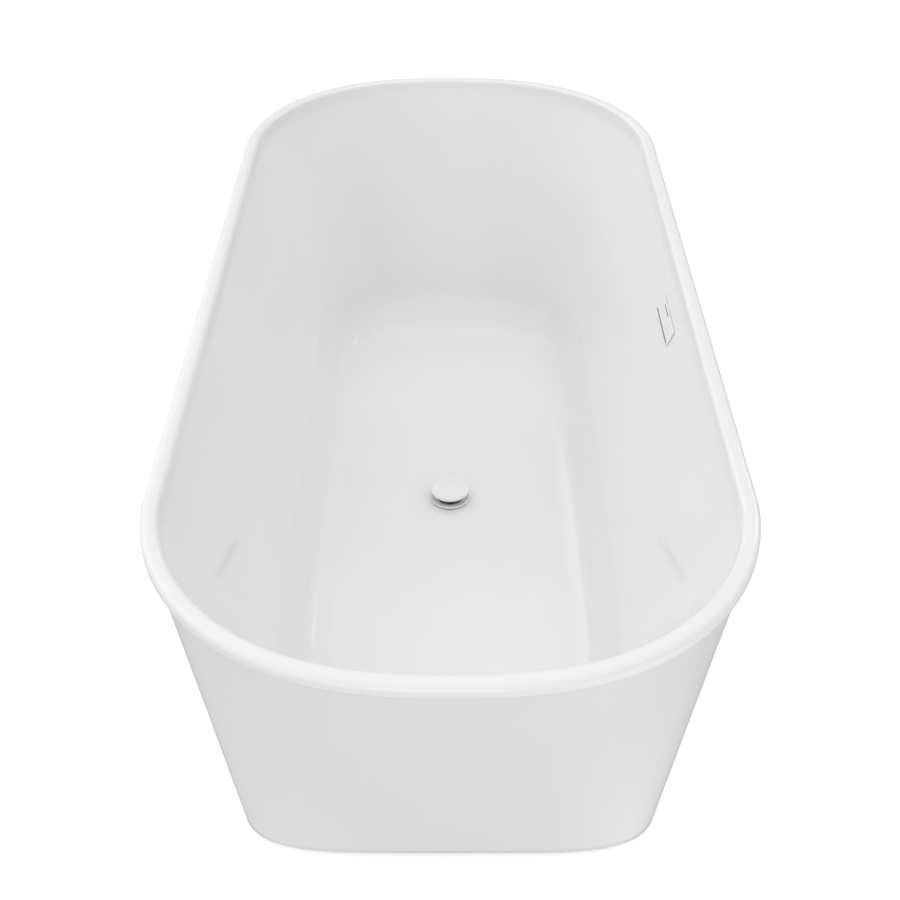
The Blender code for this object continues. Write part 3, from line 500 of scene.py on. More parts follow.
def smooth_path(knots, per):
    pts = [Vector(k) for k in knots]
    ext = [pts[0] * 2 - pts[1]] + pts + [pts[-1] * 2 - pts[-2]]
    out = []
    for i in range(1, len(ext) - 2):
        p0, p1, p2, p3 = ext[i - 1:i + 3]
        t0 = 0.0
        t1 = t0 + (p1 - p0).length ** 0.5
        t2 = t1 + (p2 - p1).length ** 0.5
        t3 = t2 + (p3 - p2).length ** 0.5
        for k in range(per):
            t = t1 + (t2 - t1) * k / per
            a1 = p0 * ((t1 - t) / (t1 - t0)) + p1 * ((t - t0) / (t1 - t0))
            a2 = p1 * ((t2 - t) / (t2 - t1)) + p2 * ((t - t1) / (t2 - t1))
            a3 = p2 * ((t3 - t) / (t3 - t2)) + p3 * ((t - t2) / (t3 - t2))
            b1 = a1 * ((t2 - t) / (t2 - t0)) + a2 * ((t - t0) / (t2 - t0))
            b2 = a2 * ((t3 - t) / (t3 - t1)) + a3 * ((t - t1) / (t3 - t1))
            out.append(b1 * ((t2 - t) / (t2 - t1)) + b2 * ((t - t1) / (t2 - t1)))
    out.append(pts[-1])
    return out


def hex_nut(name, flats, bore, z0, z1, mat, matrix=None, thread=True, seg=72):
    """Hexagonal nut with 30 degree turned corners, a countersunk bore and thread rings inside."""
    apothem = flats / 2
    corner = apothem / math.cos(PI / 6)

    def hexr(w, cap):
        local = (w + PI / 6) % (PI / 3) - PI / 6
        return min(apothem / math.cos(local), cap)
    rows = []
    ch = min(0.0016, (z1 - z0) * 0.2)
    caps = [(apothem * 0.965, z0), (corner * 0.97, z0 + ch * 0.8), (corner * 1.01, z0 + ch),
            (corner * 1.01, z1 - ch), (corner * 0.97, z1 - ch * 0.8), (apothem * 0.965, z1)]
    for cap, z in caps:
        rows.append([(hexr(2 * PI * k / seg, cap), z) for k in range(seg)])
    inner = [(bore + 0.0007, z1), (bore + 0.0001, z1 - 0.0007)]
    if thread:
        steps = max(4, int((z1 - z0) / 0.00075))
        for i in range(steps):
            z = z1 - 0.0009 - (z1 - z0 - 0.0018) * (i + 0.5) / steps
            inner.append((bore + (0.0004 if i % 2 else 0.0), z))
    inner += [(bore + 0.0001, z0 + 0.0007), (bore + 0.0007, z0)]
    for r, z in inner:
        rows.append([(r, z)] * seg)
    verts = [(rw[0] * math.cos(2 * PI * k / seg), rw[0] * math.sin(2 * PI * k / seg), rw[1])
             for row in rows for k, rw in enumerate(row)]
    faces, m = [], len(rows)
    for a in range(m):
        for k in range(seg):
            j, b = (k + 1) % seg, (a + 1) % m
            faces.append((a * seg + k, b * seg + k, b * seg + j, a * seg + j))
    return obj(name, mesh(name, verts, faces), mat, matrix, 28.0)


# ---------------------------------------------------------------- plan loops
def quarter(a, b, s, nx, ny, k1=K1, k2=K2):
    pts = [(b, s * i / k1) for i in range(k1)]
    fine = 900
    curve = []
    for i in range(fine + 1):
        t = (PI / 2) * (0.5 - 0.5 * math.cos(PI * i / fine))
        curve.append((b * max(math.cos(t), 0.0) ** (2 / nx), s + (a - s) * math.sin(t) ** (2 / ny)))
    curve[-1] = (0.0, a)
    run = [0.0]
    for p, q in zip(curve, curve[1:]):
        run.append(run[-1] + math.hypot(q[0] - p[0], q[1] - p[1]))
    j = 0
    for i in range(k2):
        want = run[-1] * i / k2
        while run[j + 1] < want:
            j += 1
        f = (want - run[j]) / (run[j + 1] - run[j])
        p, q = curve[j], curve[j + 1]
        pts.append((p[0] + f * (q[0] - p[0]), p[1] + f * (q[1] - p[1])))
    return pts


def mirrored(q, end):
    first = q + [(0.0, end)]
    loop = list(first)
    loop += [(-x, y) for x, y in reversed(first[:-1])]
    loop += [(-x, -y) for x, y in first[1:]]
    loop += [(x, -y) for x, y in reversed(first[1:-1])]
    return loop


def plan_loop(a, b, s, nx, ny, z):
    return [Vector((x, y, z)) for x, y in mirrored(quarter(a, b, s, nx, ny), a)]


def rim_loop(inset, z):
    return plan_loop(HALF_L - inset, HALF_W - inset, RIM_STRAIGHT, RIM_NX, RIM_NY, z)


def blend(z):
    return max(0.0, min(1.0, (CREASE_Z - z) / (CREASE_Z - FLOOR_EDGE_Z)))


def wall_loop(z, b, a, dz=0.0):
    f = blend(z)
    return plan_loop(a, b, RIM_STRAIGHT + (FLOOR_STRAIGHT - RIM_STRAIGHT) * f,
                     RIM_NX + (FLOOR_NX - RIM_NX) * f, RIM_NY + (FLOOR_NY - RIM_NY) * f, z + dz)


def spline(table, steps):
    pts = [Vector(p) for p in table]
    tang, out = [], []
    for i, p in enumerate(pts):
        if i == 0:
            tang.append((pts[1] - p).normalized())
        elif i == len(pts) - 1:
            tang.append((p - pts[i - 1]).normalized())
        else:
            d0, d1 = p - pts[i - 1], pts[i + 1] - p
            tang.append((d0 / d0.length * d1.length + d1 / d1.length * d0.length).normalized())
    for i in range(len(pts) - 1):
        p, q = pts[i], pts[i + 1]
        length = (q - p).length
        for k in range(steps[i]):
            t = k / steps[i]
            out.append(p * (2 * t ** 3 - 3 * t ** 2 + 1) + tang[i] * length * (t ** 3 - 2 * t ** 2 + t)
                       + q * (-2 * t ** 3 + 3 * t ** 2) + tang[i + 1] * length * (t ** 3 - t ** 2))
    out.append(pts[-1])
    return out


FINE_WALL = spline(WALL, (14, 14, 14, 14, 12, 12, 8, 6))


def shell_half_width(z):
    for p, q in zip(FINE_WALL, FINE_WALL[1:]):
        if p[0] >= z >= q[0]:
            return p[1] + (p[0] - z) / (p[0] - q[0]) * (q[1] - p[1])
    return FINE_WALL[-1][1]


def skirt_half_width(z):
    f = (SKIRT_TOP - z) / (SKIRT_TOP - SKIRT_BOTTOM)
    return (HALF_W - SKIRT_INSET) * (1 - f) + BASE_HALF_W * f


def drain_ring(edge_loop, r, z):
    out = []
    for p in edge_loop:
        w = math.atan2(p.y, p.x)
        out.append(Vector((r * math.cos(w), r * math.sin(w), z)))
    return out


def arc(cx, cz, r, a0, a1, n):
    return [(cx + r * math.cos(math.radians(a0 + (a1 - a0) * i / n)),
             cz + r * math.sin(math.radians(a0 + (a1 - a0) * i / n))) for i in range(n + 1)]


# ---------------------------------------------------------------- the inner bath
def rim_profile():
    """(inset, height) from the lip's lower edge over the crowned rim to the top of the inner band."""
    z0 = HEIGHT - LIP_H
    pts = [(0.0026, z0)] + arc(0.0015, z0 + 0.0015, 0.0015, 270, 180, 4)
    big = RIM_CROWN_R
    sb = (RIM_WIDTH - RIM_R_OUT - RIM_R_IN) / (2 * big - RIM_R_OUT - RIM_R_IN)
    beta = math.degrees(math.asin(sb))
    dc = RIM_R_OUT + (big - RIM_R_OUT) * sb
    co = (RIM_R_OUT, HEIGHT - big + (big - RIM_R_OUT) * math.cos(math.radians(beta)))
    ci = (RIM_WIDTH - RIM_R_IN, HEIGHT - big + (big - RIM_R_IN) * math.cos(math.radians(beta)))
    pts += [(0.0, z0 + 0.0035), (0.0, z0 + 0.006)]
    pts += arc(co[0], co[1], RIM_R_OUT, 180, 90 + beta, 10)
    pts += arc(dc, HEIGHT - big, big, 90 + beta, 90 - beta, 8)[1:]
    pts += arc(ci[0], ci[1], RIM_R_IN, 90 - beta, 0, 10)[1:]
    return pts


def make_basin():
    loops = [rim_loop(d, z) for d, z in rim_profile()]
    band_z = HEIGHT - RIM_R_IN - 0.001
    # the band leans in to the crease, which is a small hollow fillet
    p0, pc = (0.5585, RIM_WIDTH + 0.0003, RIM_WIDTH + 0.0026), WALL[0]
    band = (0.5585, HALF_W - p0[1], HALF_L - p0[2])
    low = next(r for r in FINE_WALL if r[0] < 0.5465)
    for f in (0.25, 0.5, 0.75):
        z = band_z + (band[0] - band_z) * f
        loops.append(wall_loop(z, HALF_W - RIM_WIDTH + (band[1] - HALF_W + RIM_WIDTH) * f,
                               HALF_L - RIM_WIDTH + (band[2] - HALF_L + RIM_WIDTH) * f))
    crease = Vector((pc[0], pc[1], pc[2]))
    a, c = Vector(band), Vector(tuple(low))
    for i in range(9):
        u = i / 8
        p = a * (1 - u) ** 2 + crease * 2 * u * (1 - u) + c * u * u
        loops.append(wall_loop(p[0], p[1], p[2]))
    rows = [tuple(r) for r in FINE_WALL if r[0] < low[0] - 1e-6]
    for z, b, a_ in rows:
        loops.append(wall_loop(z, b, a_))
    edge = loops[-1]
    ring = drain_ring(edge, 0.046, FLOOR_Z)
    steps = 16
    for i in range(1, steps + 1):
        t = i / steps
        z = FLOOR_EDGE_Z - (FLOOR_EDGE_Z - FLOOR_Z) * (1 - (1 - t) ** 4.0)
        loops.append([Vector((p.x + (q.x - p.x) * t, p.y + (q.y - p.y) * t, z)) for p, q in zip(edge, ring)])
    for r in (0.041, 0.036, 0.0312):
        loops.append(drain_ring(edge, r, FLOOR_Z))
    for k in range(1, 4):
        w = PI / 2 * k / 3
        loops.append(drain_ring(edge, DRAIN_HOLE_R + 0.0012 * (1 - math.sin(w)), FLOOR_Z - 0.0012 * (1 - math.cos(w))))
    front = len(loops)
    loops.append(drain_ring(edge, DRAIN_HOLE_R, FLOOR_UNDER))
    coarse = spline(WALL, (6, 6, 6, 6, 5, 5, 4, 3))
    back = []
    for i, (z, b, a_) in enumerate(coarse):
        p, q = coarse[max(i - 1, 0)], coarse[min(i + 1, len(coarse) - 1)]
        dz, db = p[0] - q[0], p[1] - q[1]
        length = math.hypot(dz, db)
        out, down = SHELL_T * dz / length, SHELL_T * db / length
        zz = max(z - down, FLOOR_UNDER)
        back.append((z, b + out, a_ + out, zz - z))
    back[-1] = (coarse[-1][0], coarse[-1][1] + 0.002, coarse[-1][2] + 0.002, FLOOR_UNDER - coarse[-1][0])
    for t in (0.33, 0.66):
        far = wall_loop(*back[-1])
        near = drain_ring(edge, DRAIN_HOLE_R, FLOOR_UNDER)
        loops.append([p.lerp(q, t) for p, q in zip(near, far)])
    for z, b, a_, dz in reversed(back):
        loops.append(wall_loop(z, b, a_, dz))
    loops.append(rim_loop(RIM_WIDTH - SHELL_T, HEIGHT - 0.009))
    for w in (20, 50, 80):
        loops.append(rim_loop(RIM_WIDTH - SHELL_T - 0.0025 * (1 - math.cos(math.radians(w))),
                              HEIGHT - 0.0075 + 0.0025 * math.sin(math.radians(w))))
    for w in (80, 50, 20):
        loops.append(rim_loop(LIP_T + 0.0018 * (1 - math.cos(math.radians(w))),
                              HEIGHT - 0.0068 + 0.0018 * math.sin(math.radians(w))))
    loops.append(rim_loop(LIP_T, HEIGHT - LIP_H + 0.0010))
    loops.append(rim_loop(LIP_T - 0.0006, HEIGHT - LIP_H))
    verts, faces = lofted("basin", loops)
    me = bpy.data.meshes.new("bath_shell")
    me.from_pydata([tuple(v) for v in verts], [], faces)
    n = len(loops[0])
    me.materials.append(M["acrylic"])
    me.materials.append(M["grp"])
    last_back = len(loops) - 9
    for poly in me.polygons:
        row = poly.index // n
        if front <= row <= last_back:
            poly.material_index = 1
    bm = bmesh.new()
    bm.from_mesh(me)
    bmesh.ops.recalc_face_normals(bm, faces=bm.faces)
    bm.to_mesh(me)
    bm.free()
    return obj("bath_shell", me, "acrylic", None, 60.0)


basin = make_basin()
z_lo, z_hi = OVERFLOW_Z - OVERFLOW_H / 2, OVERFLOW_Z + OVERFLOW_H / 2
WALL_TILT = math.atan2(shell_half_width(z_hi) - shell_half_width(z_lo), z_hi - z_lo)
OVERFLOW_C = Vector((shell_half_width(OVERFLOW_Z), 0.0, OVERFLOW_Z))
ALONG_WALL = Vector((math.sin(WALL_TILT), 0, math.cos(WALL_TILT)))
INTO_BATH = Vector((-math.cos(WALL_TILT), 0, math.sin(WALL_TILT)))
SLOT_DROP = -0.007


def overflow_point(out, along_y, up):
    return OVERFLOW_C + INTO_BATH * out + Vector((0, along_y, 0)) + ALONG_WALL * up


def at_overflow(out, along_y, up):
    p = overflow_point(out, along_y, up)
    return at(p.x, p.y, p.z, (0.0, WALL_TILT, 0.0))


boolean(basin, [box("cut", (0.030, 0.092, 0.010), "acrylic", at_overflow(0, 0, SLOT_DROP), r=0.0045, seg=4)],
        "DIFFERENCE", 60.0)
show(basin, "tub", "basin_shell")


# ---------------------------------------------------------------- the outer skirt and its bead
def skirt_loop(f, inset, extra=0.0):
    top = rim_loop(SKIRT_INSET + inset, SKIRT_TOP)
    foot = plan_loop(BASE_HALF_L - inset, BASE_HALF_W - inset, BASE_STRAIGHT, BASE_NX, BASE_NY, SKIRT_BOTTOM)
    return [p.lerp(q, f) + Vector((0, 0, extra)) for p, q in zip(top, foot)]


def make_skirt():
    fr = [i / 34 for i in range(35)]
    r = 0.0012 / (SKIRT_TOP - SKIRT_BOTTOM)
    fr = [0.0, r] + [f for f in fr if r < f < 1 - r] + [1 - r]
    loops = [skirt_loop(0.0, 0.0009)] + [skirt_loop(f, 0.0) for f in fr[1:]]
    loops += [skirt_loop(1 - r * 0.35, 0.0003), skirt_loop(1.0, 0.0012), skirt_loop(1.0, SKIRT_T - 0.0006)]
    front = len(loops)
    inner = [1 - r * 0.5] + [1 - i / 16 for i in range(1, 16)] + [r]
    loops += [skirt_loop(f, SKIRT_T) for f in inner]
    loops.append(skirt_loop(0.0, SKIRT_T - 0.0006))
    verts, faces = lofted("skirt", loops)
    me = bpy.data.meshes.new("bath_skirt")
    me.from_pydata([tuple(v) for v in verts], [], faces)
    me.materials.append(M["skirt"])
    me.materials.append(M["grp"])
    n = len(loops[0])
    for poly in me.polygons:
        if front <= poly.index // n < len(loops) - 2:
            poly.material_index = 1
    bm = bmesh.new()
    bm.from_mesh(me)
    bmesh.ops.recalc_face_normals(bm, faces=bm.faces)
    bm.to_mesh(me)
    bm.free()
    return obj("bath_skirt", me, "skirt", None, 60.0)


show(make_skirt(), "tub", "outer_skirt")


def make_bead():
    """Bead of sealant squeezed between the skirt's top edge and the rim."""
    z0, z1 = SKIRT_TOP + GAP, HEIGHT - 0.005 - GAP
    i0, i1 = SKIRT_INSET - 0.0005, SKIRT_INSET + SKIRT_T - 0.0008
    outline = soften([(i0, z0), (i0, z1), (i1, z1), (i1, z0)], 0.0012, 3)
    loops = []
    for d, z in outline:
        loop = rim_loop(d, z)
        mid = (i0 + i1) / 2
        for k, p in enumerate(loop):
            wob = noise.noise(Vector((p.x * 26, p.y * 26, 3.7))) * 0.00022
            q = Vector((p.x, p.y, 0)).normalized()
            loop[k] = p + q * (wob if d < mid else -wob)
        loops.append(loop)
    verts, faces = lofted("bead", loops)
    return obj("rim_bead", mesh("rim_bead", verts, faces), "sealant", None, 50.0)


show(make_bead(), "tub", "rim_bond_bead")


# ---------------------------------------------------------------- board, frame and screws
board = box("ply_board", (0.380, 0.900, BOARD_T), "ply", at(0, 0, (BOARD_TOP + BOARD_BOTTOM) / 2), r=0.0012, seg=2)
cuts = [rod("c", 0.055, 0.05, "ply", at(0, 0, BOARD_TOP), 96)]
for sx in (-1, 1):
    for y in SCREW_Y:
        cuts.append(rod("c", 0.0024, 0.0201, "ply", at(sx * RAIL_X, y, BOARD_BOTTOM), 24))
boolean(board, cuts, "DIFFERENCE", 30.0)
show(board, "tub", "floor_board")


def rounded_square(half, r, n=6):
    pts = []
    for k in range(4):
        cx = (half - r) * (1 if k in (0, 3) else -1)
        cy = (half - r) * (1 if k in (0, 1) else -1)
        for i in range(n):
            t = math.radians(90 * k + 90 * i / (n - 1))
            pts.append((cx + r * math.cos(t), cy + r * math.sin(t)))
    return pts


def square_tube(name, half_len, along, centre):
    loops = []
    for half, r, us in ((TUBE / 2, 0.003, (-1, 1)), (TUBE / 2 - TUBE_WALL, 0.0012, (1, -1))):
        sq = rounded_square(half, r)
        for u in us:
            inset = 0.0003 if half == TUBE / 2 else 0.0
            for back in ((0.0, -inset) if u < 0 else (-inset, 0.0)) if inset else (0.0,):
                shrink = 1.0 if (back or not inset) else 1 - inset / half
                w = u * (half_len + (back if inset else 0.0))
                loops.append([Vector((p * shrink, w, q * shrink)) if along == "Y" else Vector((w, p * shrink, q * shrink))
                              for p, q in sq])
    verts, faces = lofted(name, loops)
    return obj(name, mesh(name, verts, faces), "zinc", at(*centre), 40.0)


rail_z = (RAIL_TOP + RAIL_BOTTOM) / 2
head_top = RAIL_TOP - TUBE_WALL - GAP
for side, sx in (("left", -1), ("right", 1)):
    rail = square_tube("steel_rail_" + side, RAIL_HALF, "Y", (sx * RAIL_X, 0, rail_z))
    cuts = []
    for y in SCREW_Y:
        cuts.append(rod("c", 0.0065, 0.010, "zinc", at(sx * RAIL_X, y, RAIL_BOTTOM), 32))
        cuts.append(rod("c", 0.0024, 0.008, "zinc", at(sx * RAIL_X, y, RAIL_TOP), 20))
    for y in (-FOOT_Y, FOOT_Y):
        cuts.append(rod("c", 0.0070, 0.012, "zinc", at(sx * RAIL_X, y, RAIL_BOTTOM), 40))
    boolean(rail, cuts, "DIFFERENCE", 40.0)
    show(rail, "tub", "frame_rail_" + side)
    for k, y in enumerate(SCREW_Y):
        prof = [(0.0, -0.0016), (0.0014, -0.0016), (0.0016, -0.0027), (0.0030, -0.0025), (0.0041, -0.0012),
                (0.0042, -0.0003), (0.0042, 0.0), (0.0020, 0.0)]
        z = 0.0006
        while z < 0.0092:
            prof += [(0.00165, z), (0.0021, z + 0.0004)]
            z += 0.0009
        prof += [(0.0016, 0.0098), (0.0, 0.0120)]
        s = obj("wood_screw_%s_%d" % (side, k + 1), spun("s", prof, 28, False), "zinc", at(sx * RAIL_X, y, head_top), 30.0)
        show(s, "tub", "board_screw_%s_%d" % (side, k + 1))


def weld(name, x, y, z, half, axis_sign):
    """Scalloped weld bead round a crossbar's end where it meets a rail."""
    pts = []
    sq = rounded_square(half + 0.0002, 0.0030, 7)
    per = len(sq)
    dense = []
    for i in range(per):
        a, b = Vector(sq[i]), Vector(sq[(i + 1) % per])
        m = max(1, int((b - a).length / 0.0007))
        dense += [a.lerp(b, j / m) for j in range(m)]
    verts, faces, sides = [], [], 8
    n = len(dense)
    for i, p in enumerate(dense):
        t = (dense[(i + 1) % n] - dense[i - 1]).normalized()
        outn = Vector((t.y, -t.x))
        if outn.dot(p) < 0:
            outn = -outn
        ripple = 0.0014 + 0.00032 * abs(math.sin(i * 0.82)) + 0.0002 * noise.noise(Vector((p.x * 300, p.y * 300, x * 50 + y)))
        for k in range(sides):
            w = 2 * PI * k / sides
            q = p + outn * (ripple * math.cos(w) * 0.9)
            verts.append((x - axis_sign * ripple * 0.8 * math.sin(w) - axis_sign * 0.0004, y + q.x, z + q.y))
    for i in range(n):
        for k in range(sides):
            j, l = (i + 1) % n, (k + 1) % sides
            faces.append((i * sides + k, j * sides + k, j * sides + l, i * sides + l))
    return obj(name, mesh(name, verts, faces), "nut", None, 60.0)


cross_half = RAIL_X - TUBE / 2 - GAP
for tag, y in zip(("front", "mid_front", "mid_rear", "rear"), CROSS_Y):
    bar = square_tube("steel_crossbar_" + tag, cross_half, "X", (0, y, rail_z))
    show(bar, "tub", "frame_crossbar_" + tag)
    for sx in (-1, 1):
        w = weld("weld_%s_%s" % (tag, "left" if sx < 0 else "right"), sx * cross_half, y, rail_z, TUBE / 2, sx)
        show(w, "tub", None)


# ---------------------------------------------------------------- levelling feet
def threaded(name, r, z0, z1, pitch, seg=24, extra_low=(), extra_high=()):
    """Rod with a rolled thread, as rings whose radius follows the helix."""
    depth = pitch * 0.40
    prof_rows = [list(p) for p in extra_low]
    rows = []
    for rr, z in extra_low:
        rows.append([(rr, z)] * seg)
    n = int((z1 - z0) / (pitch / 6))
    for i in range(n + 1):
        z = z0 + (z1 - z0) * i / n
        fade = min(1.0, (z - z0) / (pitch * 1.5), (z1 - z) / (pitch * 0.8) + 0.25)
        row = []
        for k in range(seg):
            ph = (z / pitch - k / seg) % 1.0
            tri = min(1.0, max(0.0, 1.35 - abs(ph - 0.5) * 3.4))
            row.append((r - depth * (1 - tri) * max(0.0, fade), z))
        rows.append(row)
    for rr, z in extra_high:
        rows.append([(rr, z)] * seg)
    verts = [(rw[0] * math.cos(2 * PI * k / seg), rw[0] * math.sin(2 * PI * k / seg), rw[1])
             for row in rows for k, rw in enumerate(row)]
    faces = []
    for a in range(len(rows) - 1):
        for k in range(seg):
            j = (k + 1) % seg
            faces.append((a * seg + k, (a + 1) * seg + k, (a + 1) * seg + j, a * seg + j))
    faces.append(tuple(range(seg)))
    faces.append(tuple(range(len(verts) - seg, len(verts))))
    return mesh(name, verts, faces)


def grip(r, z, w):
    if 0.0008 < z < 0.0048 and r > PAD_R - 0.003:
        return r - 0.0007 * (0.5 + 0.5 * math.cos(20 * w)) ** 6
    return r


pad_profile = [(0.0, 0.0006), (0.0150, 0.0006), (0.0158, 0.0), (PAD_R - 0.001, 0.0), (PAD_R, 0.0010), (PAD_R, 0.0045),
               (0.0225, 0.0054), (0.0150, 0.0095), (0.0128, 0.0104), (0.0120, PAD_H), (0.0084, PAD_H),
               (0.0084, 0.0050), (0.0, 0.0050)]
for tag, sx, sy in (("front_left", -1, -1), ("front_right", 1, -1), ("rear_left", -1, 1), ("rear_right", 1, 1)):
    x, y = sx * RAIL_X, sy * FOOT_Y
    pad = turned("nylon_pad_" + tag, pad_profile, "nylon", 120, False, 0.0006, at(x, y, 0), 50.0, grip)
    show(pad, "pad_" + tag, "foot_pad_" + tag)
    low = [(0.0020, 0.0056), (0.0062, 0.0056), (0.0073, 0.0062), (0.0078, 0.0075), (0.0075, 0.0090), (0.0066, 0.0102),
           (0.0050, 0.0110)]
    stud = obj("threaded_stud_" + tag,
               threaded("stud", STUD_R, 0.0115, STUD_TOP - 0.0012, 0.00175, 24, low, [(STUD_R - 0.0014, STUD_TOP)]),
               "zinc", at(x, y, 0), 45.0)
    show(stud, "stud_" + tag, "foot_stud_" + tag)
    wn = hex_nut("weld_nut_" + tag, 0.019, STUD_HOLE_R, RAIL_BOTTOM - GAP - 0.008, RAIL_BOTTOM - GAP, "nut", at(x, y, 0))
    show(wn, "tub", "foot_weld_nut_" + tag)
    ln = hex_nut("lock_nut_" + tag, 0.018, STUD_HOLE_R, RAIL_BOTTOM - 3 * GAP - 0.015, RAIL_BOTTOM - 2 * GAP - 0.0085,
                 "nut", at(x, y, 0, (0, 0, 0.35)))
    show(ln, "tub", "foot_lock_nut_" + tag)

# ---------------------------------------------------------------- pop-up waste
F = FLOOR_Z
NECK_END = F - 0.042
show(turned("waste_flange_seal", [(0.0262, F + GAP), (0.0340, F + GAP), (0.0343, F + 0.0009), (0.0340, F + 0.0015),
                                  (0.0262, F + 0.0015)], "rubber", 96, r=0.0003),
     "tub", "flange_gasket")
flange_prof = [
    (0.0255, F + 0.0018), (0.0350, F + 0.0018), (FLANGE_R, F + 0.0025), (0.0358, F + 0.0037),
    (0.0349, F + 0.0045), (0.0341, F + 0.0046), (0.0330, F + 0.0044), (0.0318, F + 0.0040), (0.0280, F + 0.0031),
    (0.0250, F + 0.0024), (0.0236, F + 0.0018), (NECK_BORE_R, F + 0.0004)]
z = F - 0.004
for k in range(16):
    flange_prof += [(NECK_BORE_R, z), (NECK_BORE_R + 0.0006, z - 0.0008)]
    z -= 0.0016
flange_prof += [(NECK_BORE_R, NECK_END + 0.0006), (NECK_BORE_R + 0.0004, NECK_END), (NECK_R - 0.0004, NECK_END)]
z = NECK_END + 0.0004
while z < F - 0.0060:
    flange_prof += [(NECK_R, z + 0.0006), (NECK_R - 0.0007, z + 0.0014)]
    z += 0.0016
flange_prof += [(NECK_R, F - 0.0050), (NECK_R, F + 0.0006), (0.0255, F + 0.0010)]
flange = turned("white_flange", flange_prof, "enamel", 144, r=0.0004)
SPIDER_Z = F - 0.0280
parts = [box("c", (2 * (NECK_BORE_R + 0.0012), 0.0036, 0.0045), "enamel", at(0, 0, SPIDER_Z, (0, 0, w)), r=0.0006)
         for w in (0.0, PI / 2)]
parts.append(rod("c", 0.0085, 0.008, "enamel", at(0, 0, SPIDER_Z), 64))
boolean(flange, parts, "UNION", 35.0)
boolean(flange, [rod("c", 0.0046, 0.03, "enamel", at(0, 0, SPIDER_Z), 48)], "DIFFERENCE", 35.0)
show(flange, "tub", "drain_flange")

POST_BASE = SPIDER_Z + 0.004 + GAP
show(turned("waste_post", [
    (0.0, POST_BASE - 0.0105), (0.0036, POST_BASE - 0.0105), (0.0041, POST_BASE - 0.0095),
    (0.0041, POST_BASE), (0.0120, POST_BASE), (0.0120, POST_BASE + 0.0020),
    (0.0078, POST_BASE + 0.0026), (0.0078, F + 0.0018), (0.0072, F + 0.0026),
    (0.0058, F + 0.0026), (0.0058, POST_BASE + 0.0050), (0.0, POST_BASE + 0.0050)],
    "brass", 64, False, 0.0003), "tub", "cartridge_post")

CAP_UNDER = F + 0.0165
show(turned("white_cap", [
    (0.0, CAP_UNDER + 0.0080), (0.0060, CAP_UNDER + 0.00795), (0.0120, CAP_UNDER + 0.0078),
    (0.0180, CAP_UNDER + 0.0074), (0.0240, CAP_UNDER + 0.0068), (0.0285, CAP_UNDER + 0.0059),
    (0.0315, CAP_UNDER + 0.0047), (0.0333, CAP_UNDER + 0.0034), (CAP_R, CAP_UNDER + 0.0018),
    (0.0336, CAP_UNDER), (0.0262, CAP_UNDER), (0.0262, CAP_UNDER + 0.0025),
    (0.0130, CAP_UNDER + 0.0035), (0.0130, CAP_UNDER - 0.0010), (0.0100, CAP_UNDER - 0.0010),
    (0.0100, CAP_UNDER + 0.0030), (0.0, CAP_UNDER + 0.0030)],
    "enamel", 144, False, 0.0009, n=4), "stopper", "stopper_cap")
show(turned("cap_seal", [
    (0.0268, CAP_UNDER - 0.0010), (0.0285, CAP_UNDER - 0.0015), (0.0300, CAP_UNDER - 0.0012),
    (0.0304, CAP_UNDER - GAP), (0.0266, CAP_UNDER - GAP)],
    "silicone", 120, r=0.0004), "stopper", "stopper_seal")
stem_low = POST_BASE + 0.0050 + 0.0115 + 0.001
show(turned("cap_stem", [
    (0.0, stem_low), (0.0040, stem_low), (0.0052, stem_low + 0.0010), (0.0052, stem_low + 0.0040),
    (0.0046, stem_low + 0.0046), (0.0046, stem_low + 0.0060), (0.0052, stem_low + 0.0066),
    (0.0052, CAP_UNDER - 0.0020), (0.0095, CAP_UNDER - 0.0010), (0.0095, CAP_UNDER + 0.0026),
    (0.0, CAP_UNDER + 0.0026)], "brass", 64, False, 0.0003), "stopper", "stopper_stem")

SPRING_LOW = POST_BASE + 0.0020 + GAP + 0.0008 + 0.0002
SPRING_HIGH = CAP_UNDER - 0.0010 - GAP - 0.0009
coil, turns, per_turn = [], 5, 40
for i in range(turns * per_turn + 1):
    w, f = 2 * PI * i / per_turn, i / (turns * per_turn)
    rise = max(0.0, min(1.0, (f - 0.08) / 0.84))
    coil.append(Vector((0.0105 * math.cos(w), 0.0105 * math.sin(w),
                        SPRING_LOW + (SPRING_HIGH - SPRING_LOW) * (0.10 * f + 0.90 * rise))))
spring = swept("coil_spring", coil, lambda i, u, w: 0.0008, 12, "spring")
show(spring, "tub", "stopper_spring")
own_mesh(spring)

U = FLOOR_UNDER
show(turned("waste_seal", [(0.0263, U - 0.0032), (0.0400, U - 0.0032), (0.0404, U - 0.0017), (0.0400, U - GAP),
                           (0.0263, U - GAP)], "rubber", 96, r=0.0005), "tub", "waste_gasket")
show(hex_nut("brass_back_nut", 0.078, 0.0257, U - 0.0105, U - 0.0035, "brass", seg=144), "tub", "waste_back_nut")
BODY_TOP, BODY_LOW = U - 0.0108, 0.0500


def ribbed(r, z, w):
    if BODY_TOP - 0.0085 < z < BODY_TOP - 0.0004 and r > 0.031:
        return r - 0.0006 * (0.5 + 0.5 * math.cos(36 * w)) ** 3
    return r


